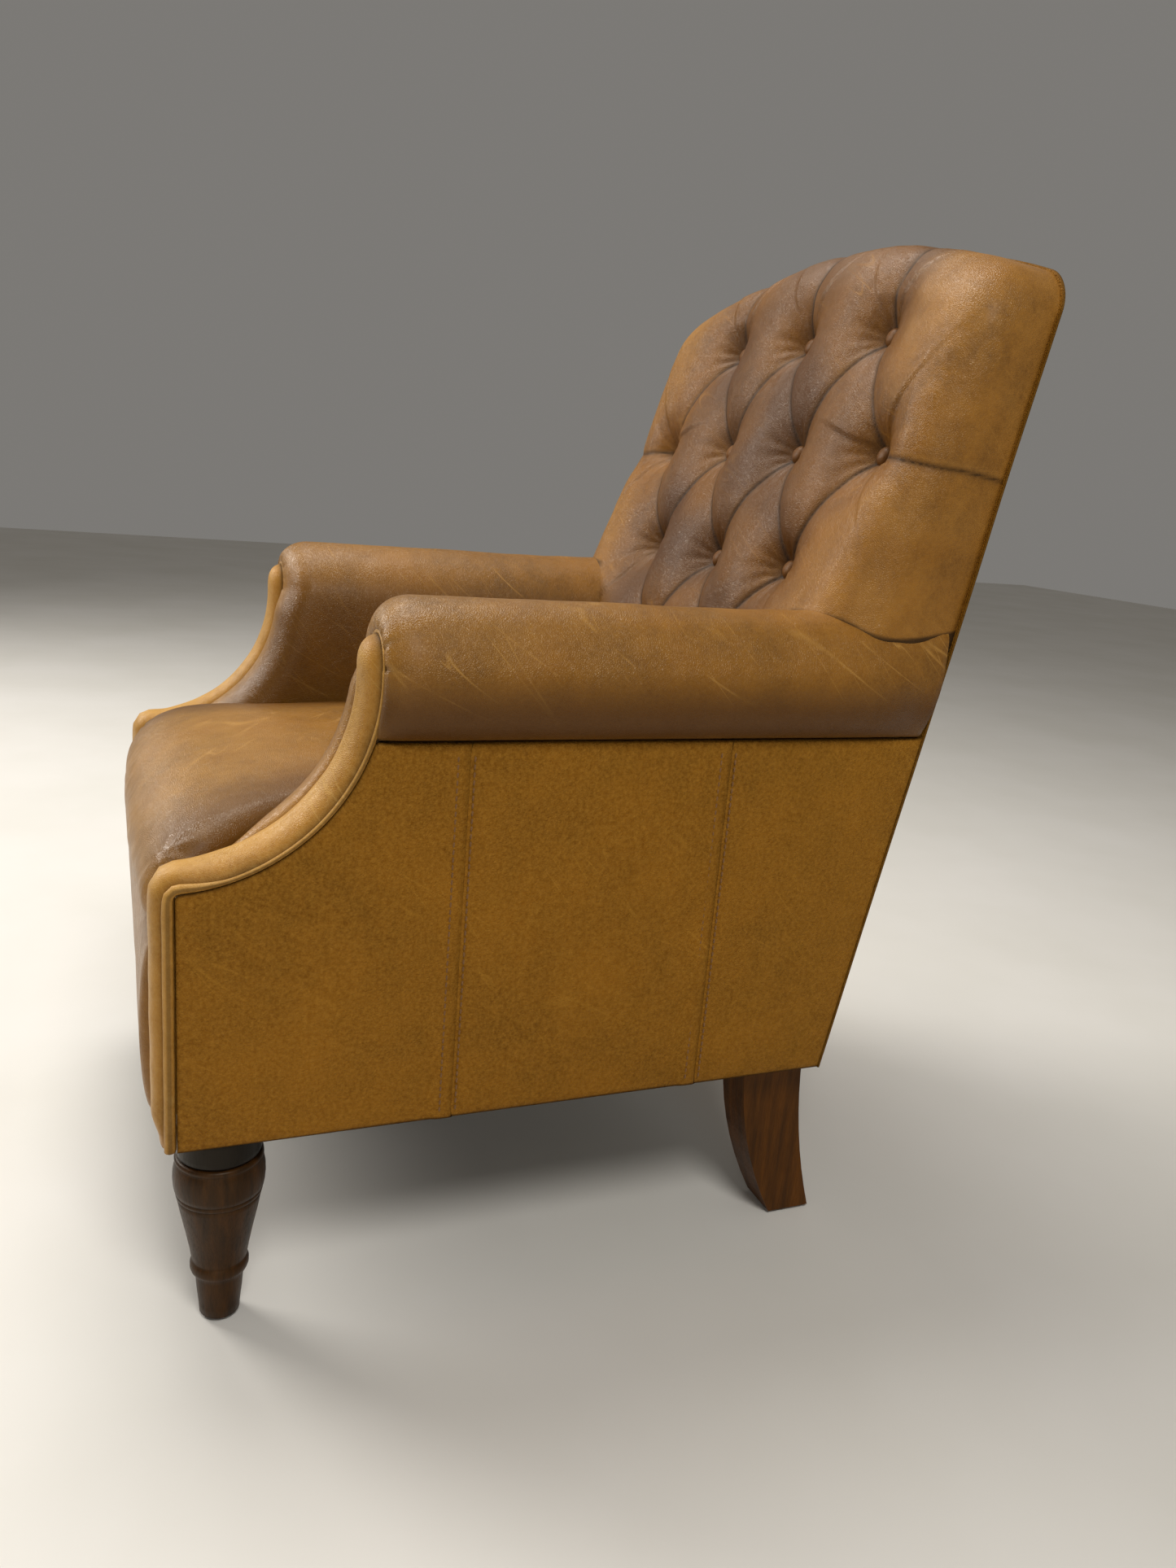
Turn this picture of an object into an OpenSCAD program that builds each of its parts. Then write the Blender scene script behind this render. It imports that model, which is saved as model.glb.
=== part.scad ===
// Scroll-arm button-back armchair: timber frame, sprung seat, foam, hides and four legs.
// Z is up, the sitter faces -Y, and "left" is the sitter's left (+X).
// The origin is on the floor under the middle of the chair.

/* [Overall] */
// Width over the outside arm panels
body_w = 610; // [560:5:740]
// Depth of the body at its bottom edge, from the front seam to the back
body_d = 605; // [540:5:730]
// Height of the crown of the back above the underside of the body
back_h = 814; // [694:5:1014]
// Height of the underside of the body above the floor
leg_h = 186; // [150:2:226]
// Lean of the back from upright, in degrees
rake = 11; // [6:0.5:15]

/* [Seat] */
// Height of the seat's flat top above the underside of the body
seat_h = 270; // [250:2:334]
// How far the seat's front roll and border stand proud of the front seam
front_proud = 26; // [20:1:40]
// How much wider the seat is on each side at its front
seat_flare = 62; // [40:1:66]
// Radius of the seat's front roll
seat_roll_r = 46; // [30:1:60]
// Height of the seam under the seat's front roll, above the underside of the body
border_seam_h = 166; // [144:1:184]
// Thickness of the seat foam over the platform
seat_foam_t = 104; // [70:1:110]

/* [Arms] */
// Thickness of each arm at the seat
arm_w = 117; // [105:1:140]
// Height of the top of the arm roll above the underside of the body
arm_h = 447; // [414:1:514]
// Height of the seam between the arm roll and the outside panels, above the underside
arm_seam_h = 337; // [314:1:374]
// Radius of the arm roll
roll_r = 52; // [45:1:58]
// How far the roll hangs over the outside panel
roll_over = 22; // [10:1:30]
// Distance from the front seam to the front of the arm roll
arm_setback = 155; // [130:1:190]
// Radius of the sweep that joins the front to the arm
sweep_r = 165; // [140:1:180]
// Height of the lowest point of the sweep above the underside of the body
shoulder_h = 219; // [204:1:244]
// Width of the padded facing on the front of each arm
facing_w = 50; // [35:1:58]
// Thickness of the padded facing
facing_t = 16; // [10:1:22]
// Height of the facing's rounded top above the underside of the body
facing_top_h = 418; // [399:1:434]
// Distance from the front seam to the front lapped seam of the outside arm
front_side_seam = 224; // [180:2:260]
// Distance from the front seam to the rear lapped seam of the outside arm
rear_side_seam = 462; // [400:2:520]

/* [Back] */
// Height of the back's top corners below its crown
crown_rise = 52; // [20:1:80]
// Radius of the back's top corners
corner_r = 40; // [25:1:60]
// Thickness of the back near its top
back_t_top = 84; // [76:1:110]
// Thickness of the back at the seat
back_t_seat = 168; // [130:1:190]
// Radius of the back's front edge along the top
back_roll_r = 42; // [25:1:50]
// Distance between neighbouring buttons in a row
button_gap = 147; // [120:1:160]
// Height of one row of buttons over the next
row_gap = 116; // [95:1:125]
// Height of the lowest row of buttons above the underside of the body
row_low_h = 358; // [344:1:374]
// Diameter of a covered button
button_d = 20; // [14:1:24]
// Depth of a button below the crown of the padding
button_sink = 36; // [20:1:40]

/* [Legs] */
// Height of the dark collar at the top of a turned front leg
collar_h = 26; // [18:1:34]
// Largest diameter of a front leg
front_leg_d = 76; // [60:1:84]
// Diameter of a front leg's foot
front_foot_d = 34; // [28:1:44]
// Distance of a front leg's centre from the outside of the body
front_leg_inset = 40; // [40:1:50]
// Side of a rear leg at its top, front to back
rear_leg_top = 66; // [56:1:80]
// Width of a rear leg
rear_leg_w = 44; // [32:1:50]
// Side of a rear leg at the floor, front to back
rear_foot = 48; // [36:1:56]
// Distance of a rear leg's outer face from the outside of the body
rear_leg_inset = 29; // [20:1:40]
// How far a rear leg sweeps back
rear_sweep = 33; // [10:1:40]

/* [Frame and materials] */
// Thickness of a side panel of plywood
ply_t = 15; // [12:1:18]
// Thickness of a rail
rail_t = 26; // [20:1:32]
// Height of the seat rails
rail_h = 138; // [120:1:140]
// Thickness of a back post, front to back
post_t = 30; // [24:1:34]
// Width of a back post
post_w = 28; // [24:1:34]
// Thickness of a hide with its lining
hide_t = 2.5; // [1.5:0.1:3]
// Thickness of the wadding on the inside of an arm
arm_pad_t = 14; // [10:1:16]
// Diameter of the spring wire
wire_d = 4; // [3:0.5:5]
// Number of serpentine springs
spring_count = 5; // [4:1:5]
// Diameter of the welt along the facing
welt_d = 8; // [6:0.5:10]
// Gap between pieces that lie against each other
fit_gap = 0.3; // [0.2:0.1:0.6]

/* [Hidden] */
// Heights above the floor of the places that are given above the underside of the body
crown_z = leg_h + back_h;
seat_z = leg_h + seat_h;
border_seam_z = leg_h + border_seam_h;
arm_z = leg_h + arm_h;
arm_seam_z = leg_h + arm_seam_h;
shoulder_z = leg_h + shoulder_h;
facing_top_z = leg_h + facing_top_h;
row_low_z = leg_h + row_low_h;

$fn = 48;
half_w = body_w / 2;
inner_x = half_w - arm_w;                 // inside face of an arm's cover
ply_out_x = half_w - hide_t - fit_gap;    // outside face of the outer side panel
ply_in_x = inner_x + hide_t + arm_pad_t + 2 * fit_gap;
facing_x = half_w - facing_w;             // inner edge of a facing
cloth_t = 1.5;
under_h = leg_h + cloth_t + fit_gap;      // underside of the timber
rail_top = under_h + rail_h;
board_t = 20;
rail_y = 8;                               // front of the front rail, behind the seam
tall_block = 90;
short_block = 60;
block_w = 44;
leg_block_w = 54;                         // takes the bolt of a front leg
corner_block_w = 58;
post_top_z = crown_z - crown_rise - 60;
board_top = arm_seam_z - 2;
board_low = board_top - board_t;
side_top = board_low - fit_gap;
roll_z = arm_z - hide_t - fit_gap - roll_r;
roll_in_x = inner_x + hide_t + fit_gap + roll_r;
roll_out_x = half_w + roll_over - hide_t - fit_gap - roll_r;
sweep_y = arm_setback - sweep_r;          // centre of the sweep
sweep_z = shoulder_z + sweep_r;
foam_low = seat_z - hide_t - fit_gap - seat_foam_t;
platform_t = 5;
spring_z = foam_low - fit_gap - platform_t - fit_gap - wire_d / 2;
corner_h = crown_z - crown_rise;
row_buttons = [2, 3, 4, 3];              // buttons in each row, lowest first
button_rows = len(row_buttons);
tuft_hole_r = button_d / 2 + 3.5;
reach = 3000;

// ---------- places that several pieces share ----------
function rear_y(z) = body_d + (z - leg_h) * tan(rake);
function back_t(z) = back_t_seat + (back_t_top - back_t_seat) * (z - seat_z) / (corner_h - seat_z);
front_y = -front_proud;
mid_y = (front_y + rear_y(crown_z)) / 2;
post_front = post_t + hide_t + fit_gap;
canvas_t = 1.5;
webbing_t = 2.5;
canvas_lap = 34;  // up the face of the top rail
canvas_back = post_front + fit_gap + webbing_t + fit_gap;
foam_back = canvas_back + canvas_t + fit_gap;
back_low_h = seat_z + 4;
back_wide_h = arm_z + 4;
rail_in_x = ply_in_x - fit_gap;

module placed() {
    translate([0, -mid_y, 0]) children();
}

module on_side(side) {
    placed() if (side > 0) children(); else mirror([1, 0, 0]) children();
}

// A profile drawn in Y and Z, given a thickness along X
module slab_x(x0, x1) {
    translate([x0, 0, 0]) rotate([90, 0, 90]) linear_extrude(x1 - x0) children();
}

// A profile drawn in X and Z, given a length along Y
module slab_y(y0, y1) {
    translate([0, y1, 0]) rotate([90, 0, 0]) linear_extrude(y1 - y0) children();
}

module box(x0, x1, y0, y1, z0, z1) {
    translate([x0, y0, z0]) cube([x1 - x0, y1 - y0, z1 - z0]);
}

// ---------- the side outline: front seam, sweep, arm front and raked back ----------
function sweep_arc(grow, top) =
    let (r = sweep_r - grow,
         a0 = asin((-grow - sweep_y) / r),
         a1 = top < sweep_z ? acos((sweep_z - top) / r) : 90,
         steps = 12)
    [for (i = [0 : steps]) let (a = a0 + (a1 - a0) * i / steps)
        [sweep_y + r * sin(a), sweep_z - r * cos(a)]];

// grow moves the front and the sweep outward; inset moves the back face forward
module side_outline(grow, low, top, inset = 0) {
    end = top > sweep_z ? [[arm_setback - grow, top]] : [];
    polygon(concat(
        [[-grow, low]], sweep_arc(grow, top), end,
        [[rear_y(top) - inset, top], [rear_y(low) - inset, low]]));
}

// The strip between two growths of the outline, in front of the arm
module front_strip(outer, inner, low, top) {
    intersection() {
        difference() {
            side_outline(outer, low, top);
            side_outline(inner, low - 1, top + 1);
        }
        translate([-reach / 2, low]) square([reach / 2 + arm_setback - inner, top - low]);
    }
}

// ---------- timber ----------
module front_rail() {
    color("#c9a673") placed() box(-rail_in_x, rail_in_x, rail_y, rail_y + rail_t, under_h, rail_top);
}

module rear_rail() {
    y1 = rear_y(under_h) - hide_t - fit_gap - post_t - fit_gap;
    color("#c9a673") placed() box(-rail_in_x, rail_in_x, y1 - rail_t, y1, under_h, rail_top);
}

module corner_block() {
    linear_extrude(short_block) polygon([[0, 0], [corner_block_w, 0], [0, corner_block_w]]);
}

module corner_blocks() {
    y_rear = rear_y(under_h) - hide_t - post_t - rail_t - 3 * fit_gap;
    x = rail_in_x - fit_gap;
    y_front = rail_y + rail_t + fit_gap;
    color("#b98f5c") placed() for (side = [-1, 1]) {
        translate([side * x, y_front, under_h]) mirror([side > 0 ? 1 : 0, 0, 0]) corner_block();
        translate([side * x, y_rear, under_h]) mirror([side > 0 ? 1 : 0, 0, 0])
            mirror([0, 1, 0]) corner_block();
    }
}

// The post slot runs up the back of both side panels
post_x = ply_out_x - ply_t - fit_gap - post_w;

module outer_side_panel(side) {
    color("#d8b98a") on_side(side) slab_x(ply_out_x - ply_t, ply_out_x)
        side_outline(-1, under_h, side_top, hide_t + fit_gap);
}

module inner_side_panel(side) {
    lean = post_t + hide_t + 2 * fit_gap;
    color("#d8b98a") on_side(side) slab_x(ply_in_x, ply_in_x + ply_t) polygon([
        [rail_y, under_h], [rail_y, foam_low - fit_gap], [arm_setback - 34, foam_low - fit_gap],
        [arm_setback + 2, side_top], [rear_y(side_top) - lean, side_top],
        [rear_y(under_h) - lean, under_h]]);
}

// Spacer blocks between the two side panels; the front lower one takes the leg
module arm_blocks(side) {
    x0 = ply_in_x + ply_t + fit_gap;
    x1 = ply_out_x - ply_t - fit_gap;
    y_arm = arm_setback + rail_y;
    y_middle = body_d / 2;
    y_rear = body_d - 100;
    color("#b98f5c") on_side(side) {
        box(x0, x1, rail_y, rail_y + leg_block_w, under_h, under_h + tall_block);
        box(x0, x1, y_arm, y_arm + block_w, side_top - short_block, side_top);
        box(x0, x1, y_middle, y_middle + block_w, side_top - short_block, side_top);
        box(x0, x1, y_middle, y_middle + block_w, under_h, under_h + short_block);
        box(x0, x1, y_rear, y_rear + block_w, under_h, under_h + tall_block);
    }
}

module arm_board(side) {
    color("#c9a673") on_side(side) intersection() {
        box(ply_in_x, ply_out_x, arm_setback + 2, reach, board_low, board_top);
        slab_x(0, reach) side_outline(-2, board_low - 1, board_top + 1, post_front + fit_gap);
    }
}

module back_post(side) {
    top = post_top_z;
    color("#c9a673") on_side(side) slab_x(post_x, post_x + post_w) polygon([
        [rear_y(under_h) - hide_t - fit_gap, under_h], [rear_y(top) - hide_t - fit_gap, top],
        [rear_y(top) - post_front, top], [rear_y(under_h) - post_front, under_h]]);
}

// Timber lies against the back's rear plane
module back_plane(front, back, low, top, half) {
    slab_x(-half, half) polygon([
        [rear_y(low) - back, low], [rear_y(top) - back, top],
        [rear_y(top) - front, top], [rear_y(low) - front, low]]);
}

module back_top_rail() {
    low = post_top_z + fit_gap;
    color("#c9a673") placed() intersection() {
        back_plane(post_front, hide_t + fit_gap, low, crown_z, post_x + post_w);
        slab_y(0, reach) back_face(12);
    }
}

module back_lower_rail() {
    color("#c9a673") placed()
        back_plane(post_front, hide_t + fit_gap, seat_z - 10, seat_z + 60, post_x - fit_gap);
}

// ---------- the back's face, drawn in X and Z: arched top with round corners ----------
function crown_r(rise) = (half_w * half_w + rise * rise) / (2 * rise);

// Half of the outline, from the foot of the side to the crown
function face_half(inset) =
    let (r = crown_r(crown_rise),
         corner_x = half_w - corner_r,
         arch_z = crown_z - r,
         corner_z = arch_z + sqrt(pow(r - corner_r, 2) - pow(corner_x, 2)),
         spread = atan(corner_x / (corner_z - arch_z)),
         corner_steps = 6,
         arch_steps = 12)
    concat([[half_w - inset, 0]],
        [for (i = [0 : corner_steps]) let (a = (90 - spread) * i / corner_steps)
            [corner_x + (corner_r - inset) * cos(a), corner_z + (corner_r - inset) * sin(a)]],
        [for (i = [1 : arch_steps]) let (a = spread * (1 - i / arch_steps))
            [(r - inset) * sin(a), arch_z + (r - inset) * cos(a)]]);

module back_face(inset) {
    half = face_half(inset);
    last = len(half) - 1;
    polygon(concat(half, [for (i = [last - 1 : -1 : 0]) [-half[i][0], half[i][1]]]));
}

// ---------- springs, webbing and canvas ----------
spring_bays = 14;
spring_steps = spring_bays * 4;
spring_y0 = rail_y + rail_t * 0.6;
spring_y1 = rear_y(under_h) - hide_t - fit_gap - post_t - fit_gap - rail_t * 0.6;
spring_pitch = (2 * rail_in_x - 70) / spring_count;

function wave_side(x, offset) =
    [for (i = [0 : spring_steps]) let (t = i / spring_steps)
        [x + 22 * sin(t * spring_bays * 180) + offset,
         spring_y0 + 14 + (spring_y1 - spring_y0 - 28) * t]];

// One serpentine spring, as a flat wave of wire
module spring(x) {
    points = concat(wave_side(x, -wire_d / 2),
        [for (i = [0 : spring_steps]) wave_side(x, wire_d / 2)[spring_steps - i]]);
    translate([0, 0, spring_z - wire_d / 2]) linear_extrude(wire_d) polygon(points);
}

module seat_springs() {
    color("#8d9094") placed() for (i = [0 : spring_count - 1])
        spring((i - (spring_count - 1) / 2) * spring_pitch);
}

module spring_clips() {
    color("#6f7276") placed() for (i = [0 : spring_count - 1], end = [0, 1]) {
        x = (i - (spring_count - 1) / 2) * spring_pitch;
        y = end == 0 ? spring_y0 : spring_y1;
        z = rail_top + fit_gap;
        box(x - 10, x + 10, y - 8, y + 8, z, max(z + 1.5, spring_z + wire_d / 2 - fit_gap));
    }
}

module seat_platform() {
    z = foam_low - fit_gap - platform_t;
    y1 = rear_y(z) - post_front - fit_gap - 8;
    color("#6b6a66") placed() box(-inner_x - hide_t, inner_x + hide_t, 10, y1, z, z + platform_t);
}

module back_webbing() {
    back = post_front + fit_gap;
    strap = 50;
    first = row_low_z - row_gap / 2 - strap / 2;
    last = floor((corner_h - first) / row_gap);
    color("#b7a37a") placed() intersection() {
        for (i = [0 : last]) {
            low = first + i * row_gap;
            half = low + strap < back_wide_h ? rail_in_x : post_x + post_w;
            back_plane(back + webbing_t, back, low, low + strap, half);
        }
        slab_y(0, reach) back_face(12);
    }
}

function button_x(row, i) = (i - (row_buttons[row] - 1) / 2) * button_gap;
function button_z(row) = row_low_z + row * row_gap;
function button_y(row) = rear_y(button_z(row)) - back_t(button_z(row)) + button_sink;

module each_button() {
    for (row = [0 : button_rows - 1], i = [0 : row_buttons[row] - 1])
        translate([button_x(row, i), button_y(row), button_z(row)]) rotate([90 - rake, 0, 0])
            children();
}

module back_canvas() {
    top = post_top_z + canvas_lap;
    color("#cdbb95") placed() difference() {
        union() {
            back_plane(canvas_back + canvas_t, canvas_back, back_low_h, back_wide_h, rail_in_x);
            back_plane(canvas_back + canvas_t, canvas_back, back_wide_h, top, post_x + post_w);
        }
        each_button() translate([0, 0, -200]) cylinder(r = 1.6, h = 300, $fn = 16);
    }
}

// ---------- foam ----------
module seat_plan(trim) {
    w = inner_x - trim;
    wide = w + seat_flare;
    y1 = rear_y(seat_z) - back_t(seat_z) - 6;
    polygon([[-w, y1], [w, y1], [w, arm_setback - 30], [wide, 6], [wide, front_y + trim],
        [-wide, front_y + trim], [-wide, 6], [-w, arm_setback - 30]]);
}

// Side view of the seat, with a round front edge
module seat_side(trim, low) {
    r = seat_roll_r - trim;
    y0 = front_y + trim;
    z1 = seat_z - trim;
    hull() {
        translate([y0 + r, z1 - r]) circle(r);
        translate([y0 + 3, low]) square([reach / 3, 1]);
        translate([y0 + r, z1 - 1]) square([reach / 3, 1]);
    }
}

module seat_body(trim, low, plan_trim) {
    intersection() {
        slab_x(-reach / 2, reach / 2) seat_side(trim, low);
        translate([0, 0, -10]) linear_extrude(reach) seat_plan(plan_trim);
    }
}

module seat_foam() {
    color("#efe3b8") placed() seat_body(hide_t + fit_gap, foam_low, hide_t + fit_gap);
}

module seat_cover() {
    color("#a86e33") placed() difference() {
        seat_body(0, foam_low, fit_gap);
        seat_body(hide_t, foam_low - 2, hide_t);
    }
}

module border_side(trim, low, top) {
    translate([front_y + trim, low]) square([-front_y + 7.5 - trim, top - low]);
}

border_half = inner_x + seat_flare - 1;
border_top = min(border_seam_z, foam_low - fit_gap);

module front_border_foam() {
    color("#efe3b8") placed() slab_x(-border_half + hide_t + fit_gap, border_half - hide_t - fit_gap)
        border_side(hide_t + fit_gap, under_h + hide_t, border_top - hide_t);
}

module front_border() {
    color("#a5692c") placed() difference() {
        slab_x(-border_half, border_half) border_side(0, leg_h, border_top);
        slab_x(-border_half + hide_t, border_half - hide_t)
            translate([hide_t, 0]) border_side(0, leg_h + hide_t, border_top - hide_t);
    }
}

// Side view of the back's padding; trim moves every outer face inward
module back_side(trim, rear) {
    r = back_roll_r - trim;
    top = crown_z - trim;
    lean = tan(rake);
    slope = (back_t_top - back_t_seat) / (corner_h - seat_z);
    front_low = rear_y(back_low_h) - back_t(back_low_h) + trim;
    tilt = atan(lean - slope);
    cz = top - r;
    cy = front_low + (cz - back_low_h) * tan(tilt) + r / cos(tilt);
    polygon(concat(
        [[front_low, back_low_h]],
        [for (i = [0 : 10]) let (a = 180 - tilt - (90 - tilt) * i / 10)
            [cy + r * cos(a), cz + r * sin(a)]],
        [[rear_y(top) - rear, top], [rear_y(back_low_h) - rear, back_low_h]]));
}

module back_outline(inset, low) {
    intersection() {
        back_face(inset);
        union() {
            translate([-reach / 2, back_wide_h]) square([reach, reach]);
            translate([-inner_x + inset, low]) square([2 * (inner_x - inset), crown_z - low]);
        }
    }
}

module back_body(trim, rear, low) {
    intersection() {
        slab_x(-reach / 2, reach / 2) back_side(trim, rear);
        slab_y(0, reach) back_outline(trim + 1, low);
    }
}

module tuft_holes() {
    each_button() translate([0, 0, -200]) cylinder(r = tuft_hole_r, h = 400, $fn = 24);
}

module back_foam() {
    trim = hide_t + fit_gap;
    color("#efe3b8") placed() difference() {
        back_body(trim, foam_back, back_low_h + trim);
        tuft_holes();
    }
}

// The hide wraps the front, the top and the sides, and is open behind.
// Between the arms it stops at the back of the foam.
module back_cover() {
    color("#9a6230") placed() difference() {
        back_body(0, hide_t + fit_gap, back_low_h);
        back_body(hide_t, -reach, back_low_h + hide_t);
        intersection() {
            slab_x(-reach / 2, reach / 2) side_rear_strip(foam_back);
            translate([-reach / 2, 0, 0]) cube([reach, reach, back_wide_h]);
        }
        tuft_holes();
    }
}

module outside_back() {
    color("#a86e33") placed() intersection() {
        back_plane(hide_t, 0, leg_h, crown_z, half_w);
        slab_y(0, reach) intersection() {
            back_face(0);
            translate([-half_w, leg_h]) square([body_w, crown_z - leg_h]);
        }
    }
}

// A covered button: a flat disc with a domed face
module back_buttons() {
    dome_r = button_d;
    color("#8a5428") placed() each_button() intersection() {
        cylinder(d = button_d, h = 8);
        translate([0, 0, 8 - dome_r]) sphere(dome_r);
    }
}

// The twine from each button, knotted behind the canvas
module button_ties() {
    color("#e6ddc4") placed() for (row = [0 : button_rows - 1], i = [0 : row_buttons[row] - 1]) {
        z = button_z(row);
        length = (rear_y(z) - foam_back + 6 - button_y(row)) * cos(rake) - fit_gap;
        translate([button_x(row, i), button_y(row), z]) rotate([90 - rake, 0, 0])
            translate([0, 0, -length - fit_gap]) cylinder(r = 0.9, h = length, $fn = 16);
    }
}

// ---------- arms ----------
// Section of the roll in X and Z, grown outward
module roll_section(grow) {
    for (x = [roll_in_x, roll_out_x]) translate([x, roll_z]) circle(roll_r + grow);
    translate([roll_in_x, roll_z]) square([roll_out_x - roll_in_x, roll_r + grow]);
    translate([roll_in_x - roll_r - grow, board_top])
        square([ply_out_x - roll_in_x + roll_r + grow, roll_z - board_top]);
}

roll_front = arm_setback + welt_d / 2 + hide_t + 2 * fit_gap;

module roll_length(grow) {
    intersection() {
        slab_y(roll_front - grow, reach) intersection() {
            roll_section(grow);
            translate([0, board_top + fit_gap]) square([reach, reach]);
        }
        slab_x(0, reach) side_outline(grow, leg_h, arm_z + 10, hide_t + fit_gap);
    }
}

// What passes the arm at its rear: the back post, the back and its canvas
module arm_rear_cuts() {
    slab_x(post_x - fit_gap, post_x + post_w + fit_gap) side_rear_strip(post_front + fit_gap);
    slab_x(0, ply_in_x) side_rear_strip(foam_back);
    back_body(-fit_gap, -reach, 0);
}

module roll_pad(side) {
    color("#efe3b8") on_side(side) intersection() {
        difference() {
            roll_length(0);
            arm_rear_cuts();
        }
        slab_x(inner_x + hide_t + fit_gap, reach) side_outline(0, board_low, arm_z, hide_t + fit_gap);
    }
}

// Everything within some distance of the rear plane
module side_rear_strip(depth) {
    polygon([[rear_y(0) - depth, 0], [rear_y(reach) - depth, reach],
        [rear_y(reach) + reach, reach], [rear_y(0) + reach, 0]]);
}

module inside_arm_pad(side) {
    x0 = inner_x + hide_t + fit_gap;
    top = board_top;
    lean = foam_back;
    color("#efe3b8") on_side(side) slab_x(x0, x0 + arm_pad_t) polygon([
        [arm_setback + 1, foam_low], [arm_setback + 1, top],
        [rear_y(top) - lean, top], [rear_y(foam_low) - lean, foam_low]]);
}

// Plan of the arm's front between the flared seat and the facing
module arm_front_plan(grow) {
    w = inner_x + hide_t + fit_gap - grow;
    flare = min(seat_flare, facing_x - inner_x - hide_t - 4);
    polygon([[w, arm_setback], [w, arm_setback - 30], [w + flare, 6], [w + flare, 1],
        [facing_x - fit_gap, 1], [facing_x - fit_gap, arm_setback]]);
}

module arm_front_pad(side) {
    color("#efe3b8") on_side(side) difference() {
        intersection() {
            translate([0, 0, foam_low]) linear_extrude(reach) arm_front_plan(0);
            slab_x(0, reach) front_fill(0);
        }
        slab_x(ply_in_x - fit_gap, ply_in_x + ply_t + fit_gap) polygon([
            [arm_setback - 34 - fit_gap, 0], [arm_setback - 34 - fit_gap, foam_low],
            [arm_setback + 2 - fit_gap, side_top], [arm_setback + 2, reach], [reach, 0]]);
    }
}

module front_fill(grow) {
    intersection() {
        side_outline(grow, foam_low, facing_top_z - 20);
        translate([-30, 0]) square([arm_setback + 30, reach]);
    }
}

// One hide: up the inside of the arm, over the roll to the outer seam, and over the front
module arm_cover(side) {
    x0 = inner_x;
    lean = foam_back;
    color("#a0642b") on_side(side) difference() {
        union() {
            difference() {
                roll_length(hide_t + fit_gap);
                roll_length(fit_gap);
                box(0, half_w - 4, -reach / 2, reach, 0, roll_z - roll_r / 2);
            }
            slab_x(x0, x0 + hide_t) polygon([
                [arm_setback - fit_gap, foam_low + 1], [arm_setback - fit_gap, roll_z],
                [rear_y(roll_z) - lean, roll_z], [rear_y(foam_low) - lean, foam_low + 1]]);
            intersection() {
                translate([0, 0, foam_low]) linear_extrude(reach) arm_front_plan(0);
                slab_x(0, reach) difference() {
                    front_fill(hide_t + fit_gap);
                    front_fill(fit_gap);
                }
            }
        }
        arm_rear_cuts();
    }
}

// The facing seen from the front: a strip with a half-round top
module facing_face(trim) {
    r = facing_w / 2 - trim;
    x = half_w - hide_t - fit_gap - facing_w / 2;
    translate([x - r, 0]) square([2 * r, facing_top_z - facing_w / 2]);
    translate([x, facing_top_z - facing_w / 2]) circle(r);
}

module facing_solid(outer, inner, trim) {
    intersection() {
        slab_x(0, half_w) front_strip(outer, inner, leg_h + hide_t, facing_top_z);
        slab_y(-reach / 2, reach / 2) facing_face(trim);
    }
}

module facing_pad(side) {
    color("#efe3b8") on_side(side)
        facing_solid(facing_t - hide_t - fit_gap, 4, hide_t + fit_gap);
}

module facing_cover(side) {
    color("#b9823f") on_side(side) difference() {
        facing_solid(facing_t, 4, 0);
        facing_solid(facing_t - hide_t, 3, hide_t);
    }
}

module facing_welt(side) {
    x0 = half_w - hide_t;
    color("#9a6230") on_side(side) slab_x(x0, x0 + welt_d)
        front_strip(welt_d / 2, -welt_d / 2, leg_h + hide_t, arm_seam_z + 50);
}

// Outside arm: three hides lapped at two seams
module outside_arm(side, y0, y1) {
    color("#b07a30") on_side(side) slab_x(half_w - hide_t, half_w) intersection() {
        side_outline(-welt_d / 2 - fit_gap, leg_h, arm_seam_z - fit_gap, hide_t + fit_gap);
        translate([y0, 0]) square([y1 - y0, reach]);
    }
}

module outside_arm_front(side) {
    outside_arm(side, -reach / 2, front_side_seam);
}

module outside_arm_middle(side) {
    outside_arm(side, front_side_seam + fit_gap, rear_side_seam);
}

module outside_arm_rear(side) {
    outside_arm(side, rear_side_seam + fit_gap, reach);
}

module dust_cover() {
    edge = 12;
    y1 = rear_y(leg_h) - edge;
    color("#2b2a29") placed() difference() {
        box(-half_w + edge, half_w - edge, 9, y1, leg_h, leg_h + cloth_t);
        for (side = [-1, 1]) {
            translate([side * front_leg_x, front_leg_y, leg_h - 1]) cylinder(r = 6, h = 5);
            translate([side * rear_leg_x, rear_leg_y, leg_h - 1])
                box(-rear_leg_w / 2 + 2, rear_leg_w / 2 - 2, -25, 25, 0, 5);
        }
    }
}

// ---------- legs ----------
glide_t = 3;
front_leg_x = half_w - front_leg_inset;
front_leg_y = 36;
rear_leg_x = half_w - rear_leg_inset - rear_leg_w / 2;
rear_leg_y = body_d - 1 - rear_leg_top / 2;

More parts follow.
